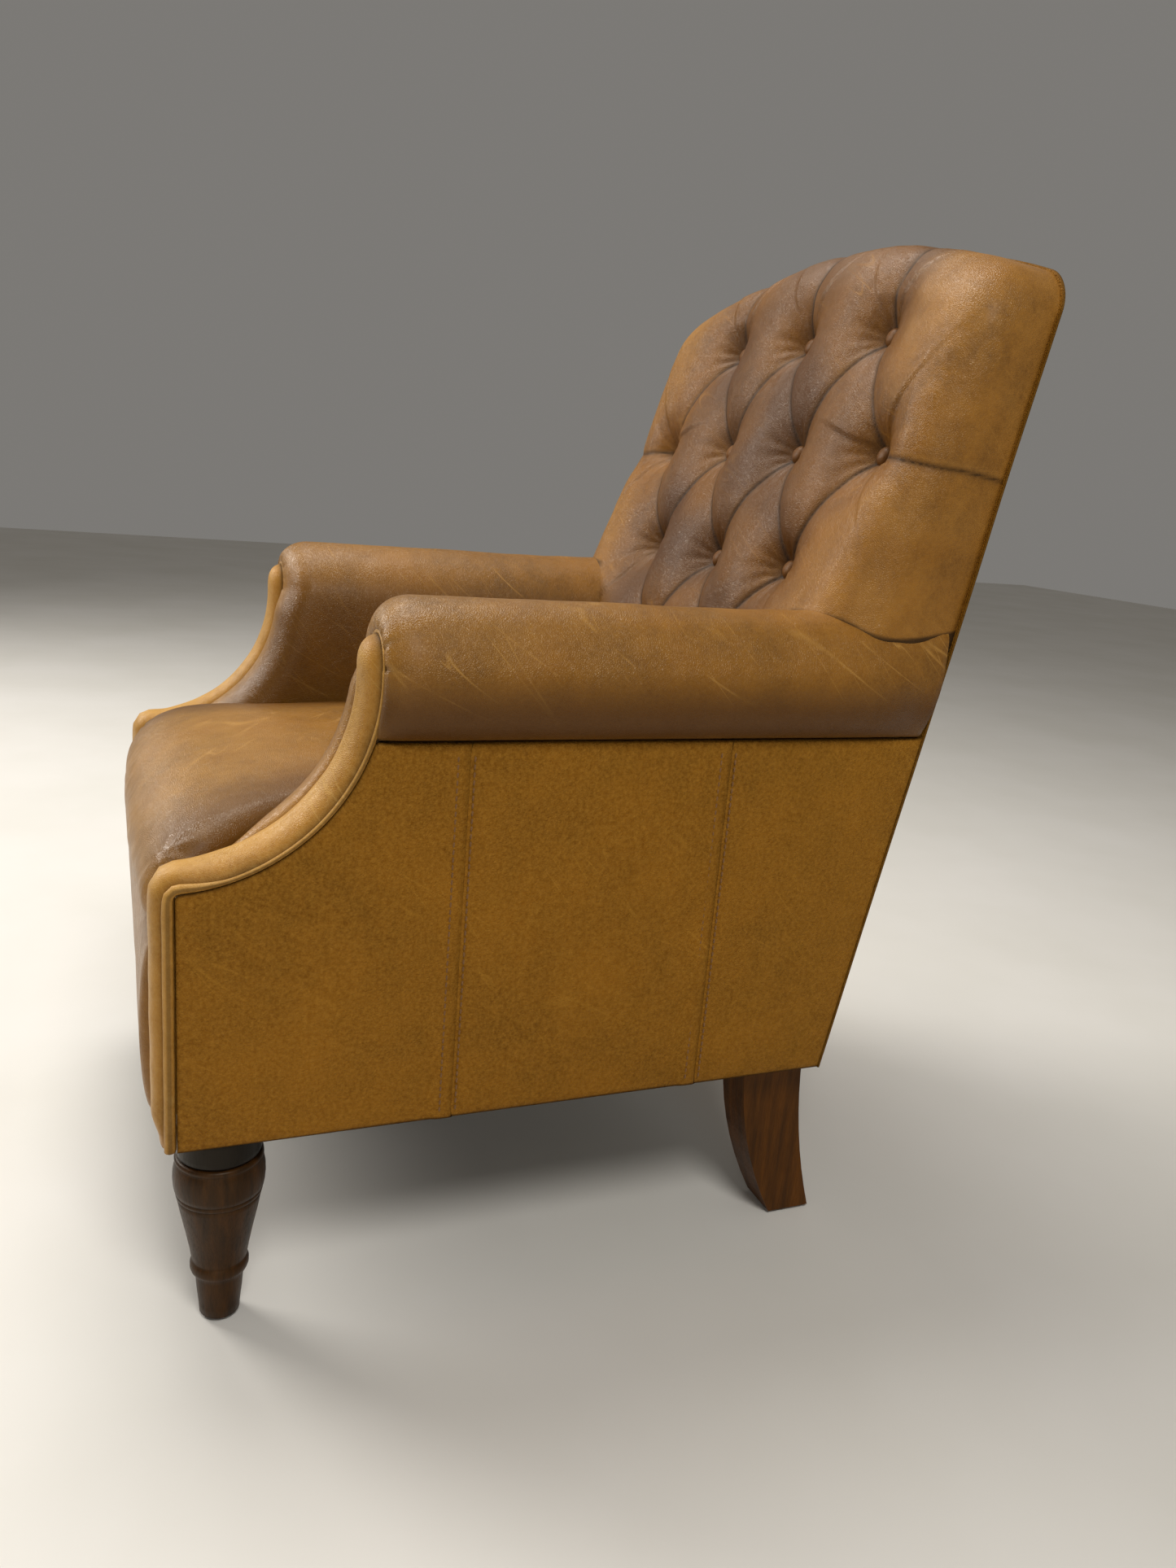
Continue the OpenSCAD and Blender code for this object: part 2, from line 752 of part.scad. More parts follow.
// Turned profile, as radius and height from the glide up to the body
module leg_profile() {
    h = leg_h - glide_t;
    foot = front_foot_d / 2;
    belly = front_leg_d / 2;
    top = h - collar_h;
    polygon(concat(
        [[0, 0], [foot - 1.5, 0], [foot, 1.5]],
        // foot, ring and taper
        [[foot + 4.5, 30]],
        [for (a = [-60 : 30 : 60]) [foot + 5 + 3 * cos(a), 34 + 3.5 * sin(a)]],
        [[foot + 5.5, 39]],
        [for (t = [0.25 : 0.25 : 1]) [foot + 5.5 + (belly - foot - 9) * t * (1.15 - 0.15 * t), 39 + (top - 83) * t]],
        // groove, belly and neck
        [[belly - 5, top - 43], [belly - 3.5, top - 41]],
        [for (a = [-50 : 20 : 50]) [belly - 9 + 9 * cos(a), top - 23 + 20 * sin(a)]],
        [[belly - 6, top - 5], [belly - 4, top - 3], [belly - 4, top], [belly - 5.5, top + 2]],
        [[belly - 6, top + 5], [belly - 3.5, top + 12], [belly - 3.5, h], [0, h]]));
}

module front_leg(side) {
    color("#5a341c") on_side(side) translate([front_leg_x, front_leg_y, glide_t]) difference() {
        rotate_extrude($fn = 64) leg_profile();
        translate([0, 0, leg_h - glide_t - 40]) cylinder(d = 8 + 2 * fit_gap, h = 60, $fn = 32);
    }
}

// A square leg that sweeps back: two arcs meet at the foot
module rear_leg_side() {
    h = leg_h - glide_t;
    y0 = rear_leg_y - rear_leg_top / 2;
    y1 = rear_leg_y + rear_leg_top / 2;
    heel = y1 + rear_sweep;
    back_bend = function (t) y1 + (heel - y1 - 4) * t * t + 4 * t;
    toe = heel - rear_foot;
    front_bend = function (t) y0 + (toe - y0) * t * t;
    polygon(concat(
        [for (i = [0 : 8]) let (t = i / 8) [front_bend(t), leg_h - h * t]],
        [for (i = [8 : -1 : 0]) let (t = i / 8) [back_bend(t), leg_h - h * t]]));
}

module rear_leg(side) {
    color("#5a341c") on_side(side) difference() {
        slab_x(rear_leg_x - rear_leg_w / 2, rear_leg_x + rear_leg_w / 2) rear_leg_side();
        translate([rear_leg_x, rear_leg_y, leg_h - 40])
            for (y = [-14, 14]) translate([0, y, 0]) cylinder(d = 5 + 2 * fit_gap, h = 60, $fn = 24);
    }
}

// Hanger bolts from the front legs into the blocks between the side panels
module leg_bolts() {
    color("#9a9da1") placed() for (side = [-1, 1])
        translate([side * front_leg_x, front_leg_y, leg_h - 36]) cylinder(d = 8, h = 36 + cloth_t, $fn = 32);
}

module rear_leg_screws() {
    color("#9a9da1") placed() for (side = [-1, 1], y = [-14, 14])
        translate([side * rear_leg_x, rear_leg_y + y, leg_h - 36]) cylinder(d = 5, h = 36 + cloth_t, $fn = 24);
}

module glides() {
    heel_y = rear_leg_y + rear_leg_top / 2 + rear_sweep - rear_foot / 2;
    color("#a7a9ab") placed() for (side = [-1, 1]) {
        translate([side * front_leg_x, front_leg_y, 0]) cylinder(d = 22, h = glide_t, $fn = 32);
        translate([side * rear_leg_x, heel_y, 0]) cylinder(d = 22, h = glide_t, $fn = 32);
    }
}

front_rail();
rear_rail();
corner_blocks();
outer_side_panel(1);  // outer_side_panel_left
outer_side_panel(-1);  // outer_side_panel_right
inner_side_panel(1);  // inner_side_panel_left
inner_side_panel(-1);  // inner_side_panel_right
arm_blocks(1);  // arm_blocks_left
arm_blocks(-1);  // arm_blocks_right
arm_board(1);  // arm_board_left
arm_board(-1);  // arm_board_right
back_post(1);  // back_post_left
back_post(-1);  // back_post_right
back_top_rail();
back_lower_rail();
seat_springs();
spring_clips();
seat_platform();
back_webbing();
back_canvas();
seat_foam();
front_border_foam();
back_foam();
roll_pad(1);  // roll_pad_left
roll_pad(-1);  // roll_pad_right
inside_arm_pad(1);  // inside_arm_pad_left
inside_arm_pad(-1);  // inside_arm_pad_right
arm_front_pad(1);  // arm_front_pad_left
arm_front_pad(-1);  // arm_front_pad_right
facing_pad(1);  // facing_pad_left
facing_pad(-1);  // facing_pad_right
seat_cover();
front_border();
back_cover();
outside_back();
back_buttons();
button_ties();
arm_cover(1);  // arm_cover_left
arm_cover(-1);  // arm_cover_right
facing_cover(1);  // facing_cover_left
facing_cover(-1);  // facing_cover_right
facing_welt(1);  // facing_welt_left
facing_welt(-1);  // facing_welt_right
outside_arm_front(1);  // outside_arm_front_left
outside_arm_front(-1);  // outside_arm_front_right
outside_arm_middle(1);  // outside_arm_middle_left
outside_arm_middle(-1);  // outside_arm_middle_right
outside_arm_rear(1);  // outside_arm_rear_left
outside_arm_rear(-1);  // outside_arm_rear_right
dust_cover();
front_leg(1);  // front_leg_left
front_leg(-1);  // front_leg_right
rear_leg(1);  // rear_leg_left
rear_leg(-1);  // rear_leg_right
leg_bolts();
rear_leg_screws();
glides();
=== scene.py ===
"""A scroll-arm, button-back armchair in waxed tan leather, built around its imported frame.

Every length is in metres in the frame's own axes: +Z up, the sitter faces -Y, +X is the sitter's left.
"""
import logging
import math
from dataclasses import dataclass, field
from enum import Enum
from typing import Callable, Sequence

import bmesh
import bpy
import numpy as np
from mathutils import Matrix, Vector, noise


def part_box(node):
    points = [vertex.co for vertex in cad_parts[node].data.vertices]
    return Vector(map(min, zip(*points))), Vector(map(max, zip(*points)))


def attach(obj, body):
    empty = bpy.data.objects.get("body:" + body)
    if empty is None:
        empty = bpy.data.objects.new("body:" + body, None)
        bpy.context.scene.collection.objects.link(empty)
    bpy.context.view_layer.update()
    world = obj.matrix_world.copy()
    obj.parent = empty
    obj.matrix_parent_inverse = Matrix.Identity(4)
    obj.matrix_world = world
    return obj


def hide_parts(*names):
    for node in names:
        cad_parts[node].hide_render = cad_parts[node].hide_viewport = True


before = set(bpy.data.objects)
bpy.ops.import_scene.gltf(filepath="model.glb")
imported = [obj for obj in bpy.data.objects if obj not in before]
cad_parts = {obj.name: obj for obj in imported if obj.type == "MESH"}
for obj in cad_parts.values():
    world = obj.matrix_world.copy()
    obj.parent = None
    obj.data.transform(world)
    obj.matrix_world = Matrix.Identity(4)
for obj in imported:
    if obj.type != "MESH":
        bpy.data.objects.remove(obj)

log = logging.getLogger("armchair")
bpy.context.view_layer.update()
BODY = "root"
Array = np.ndarray
MM = 0.001
# Colour of the painted shade in creases, seams, folds and button pits.
CREASE_SHADE_COLOUR = "160a03"
WAX_TINT = (1.0, 0.84, 0.62, 1.0)
STAIN_TINT = (1.0, 0.82, 0.6, 1.0)


class Side(Enum):
    """Which arm or leg a piece belongs to: the sitter's left is +X."""

    LEFT = 1
    RIGHT = -1

    @property
    def tag(self) -> str:
        """The word that ends the side's node names."""
        return self.name.lower()


# ---------------------------------------------------------------- shared sizes


@dataclass
class Plan:
    """Places that several pieces share, read from the frame."""

    proud: float = 0.026
    hide: float = 0.0025
    setback: float = 0.155
    sweep_r: float = 0.165
    shoulder: float = 0.405
    seam_h: float = 0.523
    facing_w: float = 0.050
    facing_top: float = 0.604
    arm_w: float = 0.117
    front: float = field(init=False)
    half: float = field(init=False)
    floor_gap: float = field(init=False)
    crown: float = field(init=False)
    back_foot: float = field(init=False)
    lean: float = field(init=False)

    def __post_init__(self) -> None:
        """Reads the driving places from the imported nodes."""
        low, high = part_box("outside_back")
        self.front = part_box("front_border")[0].y + self.proud
        self.half = high.x
        self.floor_gap = low.z
        self.crown = high.z
        self.lean = (high.y - low.y - self.hide) / (high.z - low.z)
        self.back_foot = low.y + self.hide

    def rear(self, z: Array) -> Array:
        """The y of the chair's rear plane at a height."""
        return self.back_foot + (z - self.floor_gap) * self.lean

    @property
    def sweep_centre(self) -> tuple[float, float]:
        """The y and z of the centre of the arm's front sweep."""
        return self.front + self.setback - self.sweep_r, self.shoulder + self.sweep_r

    @property
    def inner(self) -> float:
        """The x of an arm's inside face."""
        return self.half - self.arm_w


# ---------------------------------------------------------------- mesh helpers


def smooth_step(x: Array, low: float, high: float) -> Array:
    """A smooth ramp from 0 at low to 1 at high."""
    t = np.clip((x - low) / (high - low), 0, 1)
    return t * t * (3 - 2 * t)


def spline(points: Sequence[Sequence[float]], count: int) -> Array:
    """Points spread evenly along a smooth curve through given points.

    Args:
        points: the points that the curve passes through.
        count: how many points to return.

    Returns:
        An array of count rows.
    """
    p = np.array(points, float)
    p = np.vstack([2 * p[0] - p[1], p, 2 * p[-1] - p[-2]])
    fine = []
    for i in range(1, len(p) - 2):
        t = np.linspace(0, 1, 24, endpoint=False)[:, None]
        a, b, c, d = p[i - 1], p[i], p[i + 1], p[i + 2]
        square, cube = 2 * a - 5 * b + 4 * c - d, 3 * b - a - 3 * c + d
        fine.append(0.5 * (2 * b + (c - a) * t + square * t**2 + cube * t**3))
    fine = np.vstack([*fine, p[-2][None]])
    return resample(fine, count)


def resample(path: Array, count: int) -> Array:
    """The same path with count evenly spaced points."""
    along = run_lengths(path)
    wanted = np.linspace(0, along[-1], count)
    return np.stack([np.interp(wanted, along, path[:, k]) for k in range(path.shape[1])], axis=1)


def run_lengths(path: Array) -> Array:
    """The distance along a path to each of its points."""
    return np.concatenate([[0], np.cumsum(np.linalg.norm(np.diff(path, axis=0), axis=1))])


def tangents(path: Array) -> Array:
    """Unit tangents at a path's points."""
    tangent = np.gradient(path, axis=0)
    return tangent / np.linalg.norm(tangent, axis=1, keepdims=True)


def grid_mesh(points: Array, marks: dict[str, Array] | None = None) -> bmesh.types.BMesh:
    """A sheet of quads laid over a table of points.

    Args:
        points: an array of rows by columns by 3.
        marks: arrays of rows by columns, kept as vertex attributes of these names.

    Returns:
        The sheet as a bmesh.
    """
    rows, columns = points.shape[:2]
    bm = bmesh.new()
    bmesh.ops.create_grid(bm, x_segments=columns - 1, y_segments=rows - 1, size=1)
    layers = {name: bm.verts.layers.float.new(name) for name in marks or {}}
    for vert in bm.verts:
        column = round((vert.co.x + 1) / 2 * (columns - 1))
        row = round((vert.co.y + 1) / 2 * (rows - 1))
        for name, layer in layers.items():
            vert[layer] = marks[name][row, column]
        vert.co = points[row, column]
    return bm


def grid_normals(points: Array) -> Array:
    """Unit normals of a table of points, by the right-hand rule of columns then rows."""
    across = np.gradient(points, axis=1)
    along = np.gradient(points, axis=0)
    normal = np.cross(across, along)
    return normal / np.maximum(np.linalg.norm(normal, axis=2, keepdims=True), 1e-9)


def ripple(points: Array, scale: float, seed: float) -> Array:
    """Smooth noise between about -1 and 1 at each point.

    Args:
        points: an array whose last axis is x, y and z.
        scale: the size of one ripple in metres.
        seed: moves the pattern, so two pieces differ.

    Returns:
        An array with the points' leading shape.
    """
    flat = points.reshape(-1, 3) / scale
    values = [noise.noise(Vector((p[0] + seed, p[1], p[2] - seed))) for p in flat]
    return np.array(values).reshape(points.shape[:-1])


def close_holes(bm: bmesh.types.BMesh) -> None:
    """Fills every open rim with a face."""
    rim = [e for e in bm.edges if e.is_boundary]
    bmesh.ops.holes_fill(bm, edges=rim, sides=0)


def finish_mesh(bm: bmesh.types.BMesh, name: str, weld: float = 1e-5) -> bpy.types.Object:
    """Turns a bmesh into a smooth-shaded object at the origin.

    Args:
        bm: the mesh, which is freed.
        name: the object's name.
        weld: vertices closer than this are merged.

    Returns:
        The new object.
    """
    bmesh.ops.remove_doubles(bm, verts=bm.verts, dist=weld)
    bmesh.ops.dissolve_degenerate(bm, edges=bm.edges, dist=1e-7)
    bmesh.ops.recalc_face_normals(bm, faces=bm.faces)
    for face in bm.faces:
        face.smooth = True
    mesh = bpy.data.meshes.new(name)
    bm.to_mesh(mesh)
    bm.free()
    piece = bpy.data.objects.new(name, mesh)
    bpy.context.scene.collection.objects.link(piece)
    return piece


def spin_profile(bm: bmesh.types.BMesh, profile: Sequence[Sequence[float]], steps: int) -> None:
    """Spins pairs of radius and height into a solid about the Z axis."""
    ring = [bm.verts.new((r, 0, z)) for r, z in profile]
    edges = [bm.edges.new(pair) for pair in zip(ring[:-1], ring[1:])]
    bmesh.ops.spin(
        bm, geom=ring + edges, cent=(0, 0, 0), axis=(0, 0, 1), angle=math.tau, steps=steps, use_merge=True
    )


def skin_sheet(
    bm: bmesh.types.BMesh, name: str, outward: Callable[[Vector], Vector], thickness: float
) -> bpy.types.Object:
    """Gives a sheet its thickness on the inside and makes it an object.

    Args:
        bm: an open sheet.
        name: the object's name.
        outward: the rough outward direction at a point.
        thickness: the hide's thickness.

    Returns:
        The new closed object.
    """
    bmesh.ops.remove_doubles(bm, verts=bm.verts, dist=1e-5)
    bmesh.ops.dissolve_degenerate(bm, edges=bm.edges, dist=1e-7)
    bmesh.ops.recalc_face_normals(bm, faces=bm.faces)
    votes = sum(math.copysign(f.calc_area(), f.normal.dot(outward(f.calc_center_median()))) for f in bm.faces)
    if votes < 0:
        bmesh.ops.reverse_faces(bm, faces=bm.faces)
    bm.normal_update()
    rim = [e for e in bm.edges if e.is_boundary]
    outer = list(bm.verts)
    inner = bmesh.ops.duplicate(bm, geom=[*bm.verts, *bm.edges, *bm.faces])
    for vert in outer:
        if not vert.tag:
            inner["vert_map"][vert].co = vert.co - vert.normal * thickness
    bmesh.ops.reverse_faces(bm, faces=[g for g in inner["geom"] if isinstance(g, bmesh.types.BMFace)])
    rim_twins = [e for e in inner["geom"] if isinstance(e, bmesh.types.BMEdge) and e.is_boundary]
    bmesh.ops.bridge_loops(bm, edges=rim + rim_twins)
    return finish_mesh(bm, name, weld=1e-6)


def add_piece(piece: bpy.types.Object, nodes: Sequence[str], material: bpy.types.Material) -> None:
    """Joins a finished piece to the frame and dresses it.

    Args:
        piece: the object.
        nodes: the CAD nodes that it stands for.
        material: its finish.
    """
    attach(piece, BODY)
    if nodes:
        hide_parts(*nodes)
    piece.data.materials.clear()
    piece.data.materials.append(material)
    log.info("built %s: %d vertices", piece.name, len(piece.data.vertices))


def rim_distance(points: Array, outline: Array) -> Array:
    """The distance from each flat point to a polyline.

    Args:
        points: an array whose last axis is two coordinates.
        outline: the polyline's points, a row each.

    Returns:
        The distances, with the points' leading shape.
    """
    flat = points.reshape(-1, 2)
    best = np.full(len(flat), np.inf)
    for start, end in zip(outline[:-1], outline[1:]):
        best = np.minimum(best, segment_distance(flat, start, end))
    return best.reshape(points.shape[:-1])


def segment_distance(flat: Array, start: Array, end: Array) -> Array:
    """The distance from each row of flat points to one straight segment."""
    run = np.asarray(end, float) - start
    t = np.clip(((flat - start) @ run) / max(run @ run, 1e-12), 0, 1)
    return np.linalg.norm(flat - start - t[..., None] * run, axis=-1)


# ------------------------------------------------------------------ materials


def linear(colour: str) -> tuple[float, float, float, float]:
    """The linear colour of an sRGB hex value such as 7f500c."""
    parts = [int(colour[i : i + 2], 16) / 255 for i in (0, 2, 4)]
    low = [c / 12.92 if c <= 0.04045 else ((c + 0.055) / 1.055) ** 2.4 for c in parts]
    return (*low, 1.0)


class Finish:
    """A material's node tree while it is being made."""

    def __init__(self, name: str) -> None:
        """Starts a material that holds only its shader and output."""
        self.material = bpy.data.materials.new(name)
        self.material.use_nodes = True
        self.tree = self.material.node_tree
        self.tree.nodes.clear()
        self.shader = self.add("ShaderNodeBsdfPrincipled")
        out = self.add("ShaderNodeOutputMaterial")
        self.tree.links.new(self.shader.outputs["BSDF"], out.inputs["Surface"])
        self.place = self.add("ShaderNodeTexCoord").outputs["Object"]

    def add(self, kind: str, settings: dict | None = None, **inputs: object) -> bpy.types.Node:
        """Adds one node.

        Args:
            kind: the node's type.
            settings: its properties.
            inputs: a value or an output for each named or numbered input; i0 is the first.

        Returns:
            The node.
        """
        node = self.tree.nodes.new(kind)
        for key, value in (settings or {}).items():
            setattr(node, key, value)
        for key, value in inputs.items():
            numbered = key[0] == "i" and key[1:].isdigit()
            self.feed(node.inputs[int(key[1:]) if numbered else key.replace("_", " ")], value)
        return node

    def feed(self, socket: bpy.types.NodeSocket, value: object) -> None:
        """Links an output to a socket, or sets the socket to a plain value."""
        if isinstance(value, bpy.types.NodeSocket):
            self.tree.links.new(value, socket)
        else:
            socket.default_value = value

    def noise(
        self,
        scale_mm: float,
        detail: float = 3,
        rough: float = 0.55,
        stretch: Sequence[float] = (1, 1, 1),
        turn: Sequence[float] = (0, 0, 0),
    ) -> bpy.types.NodeSocket:
        """Cloudy noise.

        Args:
            scale_mm: the size of its blotches.
            detail: how many finer layers it has.
            rough: how strong they are.
            stretch: how many times longer a blotch is along each turned axis.
            turn: the axes' rotation.

        Returns:
            The noise's output.
        """
        mapped = self.add(
            "ShaderNodeMapping", {"vector_type": "TEXTURE"}, Vector=self.place, Scale=stretch, Rotation=turn
        )
        scale = 1 / (scale_mm * MM)
        cloud = self.add("ShaderNodeTexNoise", Vector=mapped.outputs[0], Scale=scale, Detail=detail, Roughness=rough)
        return cloud.outputs["Fac"]

    def ramp(
        self, value: bpy.types.NodeSocket, low: float, high: float, start: float = 0, end: float = 1
    ) -> bpy.types.NodeSocket:
        """A value's span from low to high, spread from start to end and held there."""
        return self.add("ShaderNodeMapRange", i0=value, i1=low, i2=high, i3=start, i4=end).outputs[0]

    def math(self, kind: str, a: object, b: object = 0.0) -> bpy.types.NodeSocket:
        """One sum of two values."""
        return self.add("ShaderNodeMath", {"operation": kind}, i0=a, i1=b).outputs[0]

    def mix(self, share: object, a: object, b: object, kind: str = "MIX") -> bpy.types.NodeSocket:
        """A blend of two colours."""
        return self.add("ShaderNodeMix", {"data_type": "RGBA", "blend_type": kind}, i0=share, i6=a, i7=b).outputs[2]

    def mark(self, name: str) -> bpy.types.NodeSocket:
        """A vertex attribute's value."""
        return self.add("ShaderNodeAttribute", {"attribute_name": name}).outputs["Fac"]

    def bump(self, height: object, strength: float, depth_mm: float, below: object = None) -> bpy.types.NodeSocket:
        """A bump normal, laid over another one where below is given."""
        inputs = {"Height": height, "Strength": strength, "Distance": depth_mm * MM}
        if below is not None:
            inputs["Normal"] = below
        return self.add("ShaderNodeBump", **inputs).outputs[0]

    def finish(self, colour: object, rough: object, normal: object = None, **plain: float) -> bpy.types.Material:
        """Links the shader's main inputs and sets its plain ones.

        Args:
            colour: the base colour.
            rough: the roughness.
            normal: the bump normal.
            plain: shader inputs that are the same all over, such as Metallic.

        Returns:
            The finished material.
        """
        inputs = {"Base Color": colour, "Roughness": rough}
        if normal is not None:
            inputs["Normal"] = normal
        for key, value in inputs.items():
            self.feed(self.shader.inputs[key], value)
        for key, value in plain.items():
            self.shader.inputs[key.replace("_", " ")].default_value = value
        return self.material


@dataclass(frozen=True)
class Leather:
    """Waxed pull-up cowhide: rolled and hand-waxed, so it pales where it is stretched or rubbed."""

    name: str
    base: str
    dark: str
    pale: str
    grain_mm: float = 1.8
    grain_depth: float = 0.35
    shine: float = 0.42
    scars: float = 0.5
    gloss: float = 0.5
    fleck: float = 0.28

    def make(self) -> bpy.types.Material:
        """Builds the hide: cloudy dye, pebbled grain, fine creases, pale scratches, pale wear with a painted highlight
        on the back's fold edges, painted shade from the shade mark and painted shade in the folds.
        """
        f = Finish(self.name)
        cloud = f.ramp(f.noise(110, 4, 0.6), 0.34, 0.68)
        mottle = f.ramp(f.noise(14, 4, 0.65), 0.3, 0.72)
        speck = f.ramp(f.noise(3.2, 3, 0.7), 0.3, 0.75)
        colour = f.mix(cloud, linear(self.dark), linear(self.base))
        colour = f.mix(f.math("MULTIPLY", mottle, 0.5), colour, linear(self.base))
        colour = f.mix(f.math("MULTIPLY", speck, self.fleck), colour, linear(self.pale))
        # Pales the hide where it is rubbed, and paints a highlight along the back's fold edges.
        worn_and_highlit = f.math("MULTIPLY", f.mark("wear_and_highlight"), f.ramp(f.noise(28, 5, 0.7), 0.25, 0.7, 0.35, 1))
        colour = f.mix(worn_and_highlit, colour, linear(self.pale))
        scratch = self.scratches(f)
        colour = f.mix(f.math("MULTIPLY", scratch, self.scars), colour, linear(self.pale))
        # Painted shade: darkens towards the dark dye under the arm rolls, on the arms' insides and on the seat beside
        # the arms; on the back it darkens the middle and top pads in blotches.
        colour = f.mix(f.mark("shade"), colour, linear(self.dark))
        # Painted shade in creases, seams, folds and button pits: darkened towards a near-black brown, and made
        # rougher.
        fold = f.mark("crease")
        colour = f.mix(f.math("MULTIPLY", fold, 0.93), colour, linear(CREASE_SHADE_COLOUR))
        rough = f.ramp(mottle, 0, 1, self.shine + 0.09, self.shine - 0.05)
        rough = f.math("ADD", rough, f.math("MULTIPLY", scratch, 0.15))
        rough = f.math("ADD", rough, f.math("MULTIPLY", fold, 0.45))
        return f.finish(
            colour,
            rough,
            self.relief(f),
            IOR=1.48,
            Coat_Weight=0.2 * self.gloss,
            Coat_Roughness=0.3,
            Specular_IOR_Level=self.gloss,
            Specular_Tint=WAX_TINT,
        )

    def relief(self, f: Finish) -> bpy.types.NodeSocket:
        """The bump of pebbled grain, with broader creases drawn through it."""
        scale = 1 / (self.grain_mm * MM)
        cell = f.add("ShaderNodeTexVoronoi", {"feature": "DISTANCE_TO_EDGE"}, Vector=self.wobble(f), Scale=scale)
        pebble = f.ramp(cell.outputs["Distance"], 0.0, 0.35)
        fine = f.noise(0.9, 2, 0.6)
        height = f.math("ADD", f.math("MULTIPLY", pebble, 0.7), f.math("MULTIPLY", fine, 0.4))
        drawn = f.noise(9, 5, 0.62, (1.0, 2.2, 1.0), (0.4, 0.2, 0.6))
        return f.bump(drawn, 0.5, 1.1, f.bump(height, 0.65, self.grain_depth))

    def wobble(self, f: Finish) -> bpy.types.NodeSocket:
        """The place, pushed about a little so that the grain's pebbles aren't regular."""
        shake = f.add("ShaderNodeTexNoise", Vector=f.place, Scale=1 / (6 * MM), Detail=2.0)
        small = f.add("ShaderNodeVectorMath", {"operation": "SCALE"}, i0=shake.outputs["Color"], Scale=0.0022)
        return f.add("ShaderNodeVectorMath", {"operation": "ADD"}, i0=f.place, i1=small.outputs[0]).outputs[0]

    def scratches(self, f: Finish) -> bpy.types.NodeSocket:
        """Long thin lines where the noise crosses its middle value, broken up by a mask."""
        lines = []
        for size_mm, width, turn in ((27, 0.014, -0.50), (20, 0.011, -0.85)):
            wave = f.noise(size_mm, 0, 0.3, (9.0, 16.0, 1.0), (turn, 0.45, 0.0))
            ridge = f.math("ABSOLUTE", f.math("SUBTRACT", wave, 0.5))
            lines.append(f.ramp(ridge, 0.0, width, 1, 0))
        mask = f.ramp(f.noise(70, 3, 0.6), 0.50, 0.64)
        return f.math("MULTIPLY", f.math("MAXIMUM", *lines), mask)


@dataclass(frozen=True)
class Timber:
    """Wood, sawn or turned, with its grain along one axis."""

    name: str
    base: str
    dark: str
    rough: float
    ring_mm: float = 9
    coat: float = 0.0
    along: tuple[float, float, float] = (1, 1, 12)

    def make(self) -> bpy.types.Material:
        """Builds long streaks of darker grain with fine pores."""
        f = Finish(self.name)
        streak = f.ramp(f.noise(self.ring_mm, 5, 0.6, self.along), 0.3, 0.7)
        pore = f.ramp(f.noise(0.9, 2, 0.5, self.along), 0.45, 0.7)
        colour = f.mix(streak, linear(self.dark), linear(self.base))
        colour = f.mix(f.math("MULTIPLY", pore, 0.35), colour, linear(self.dark))
        normal = f.bump(f.math("ADD", streak, f.math("MULTIPLY", pore, 0.5)), 0.35, 0.25)
        rough = f.ramp(pore, 0, 1, self.rough, self.rough + 0.12)
        return f.finish(
            colour,
            rough,
            normal,
            Specular_IOR_Level=0.22,
            Specular_Tint=STAIN_TINT,
            Coat_Weight=self.coat,
            Coat_Roughness=0.25,
        )


@dataclass(frozen=True)
class Weave:
    """A plain woven cloth, such as jute webbing, cambric or felt."""

    name: str
    base: str
    dark: str
    thread_mm: float
    rough: float = 0.9

    def make(self) -> bpy.types.Material:
        """Builds crossing threads with a little unevenness in their dye."""
        f = Finish(self.name)
        scale = 0.5 / (self.thread_mm * MM)
        warp, weft = (
            f.add("ShaderNodeTexWave", {"bands_direction": axis}, Vector=f.place, Scale=scale, Distortion=0.6)
            for axis in "XY"
        )
        weave = f.math("MULTIPLY", f.math("ADD", warp.outputs["Fac"], weft.outputs["Fac"]), 0.5)
        dye = f.ramp(f.noise(self.thread_mm * 9, 3), 0.3, 0.7)
        share = f.math("MULTIPLY", weave, dye)
        normal = f.bump(weave, 0.6, self.thread_mm * 0.3)
        return f.finish(f.mix(share, linear(self.dark), linear(self.base)), self.rough, normal, Sheen_Weight=0.15)


@dataclass(frozen=True)
class Plain:
    """A solid that is the same right through: steel or nylon."""

    name: str
    base: str
    dark: str
    rough: float
    grit_mm: float
    depth_mm: float
    metal: float = 0.0

    def make(self) -> bpy.types.Material:
        """Builds a slightly uneven surface with grit or pores."""
        f = Finish(self.name)
        grit = f.noise(self.grit_mm, 4, 0.6)
        stain = f.ramp(f.noise(self.grit_mm * 14, 3), 0.3, 0.7)
        colour = f.mix(stain, linear(self.dark), linear(self.base))
        rough = f.ramp(grit, 0.3, 0.7, self.rough - 0.06, self.rough + 0.08)
        return f.finish(colour, rough, f.bump(grit, 0.5, self.depth_mm), Metallic=self.metal)


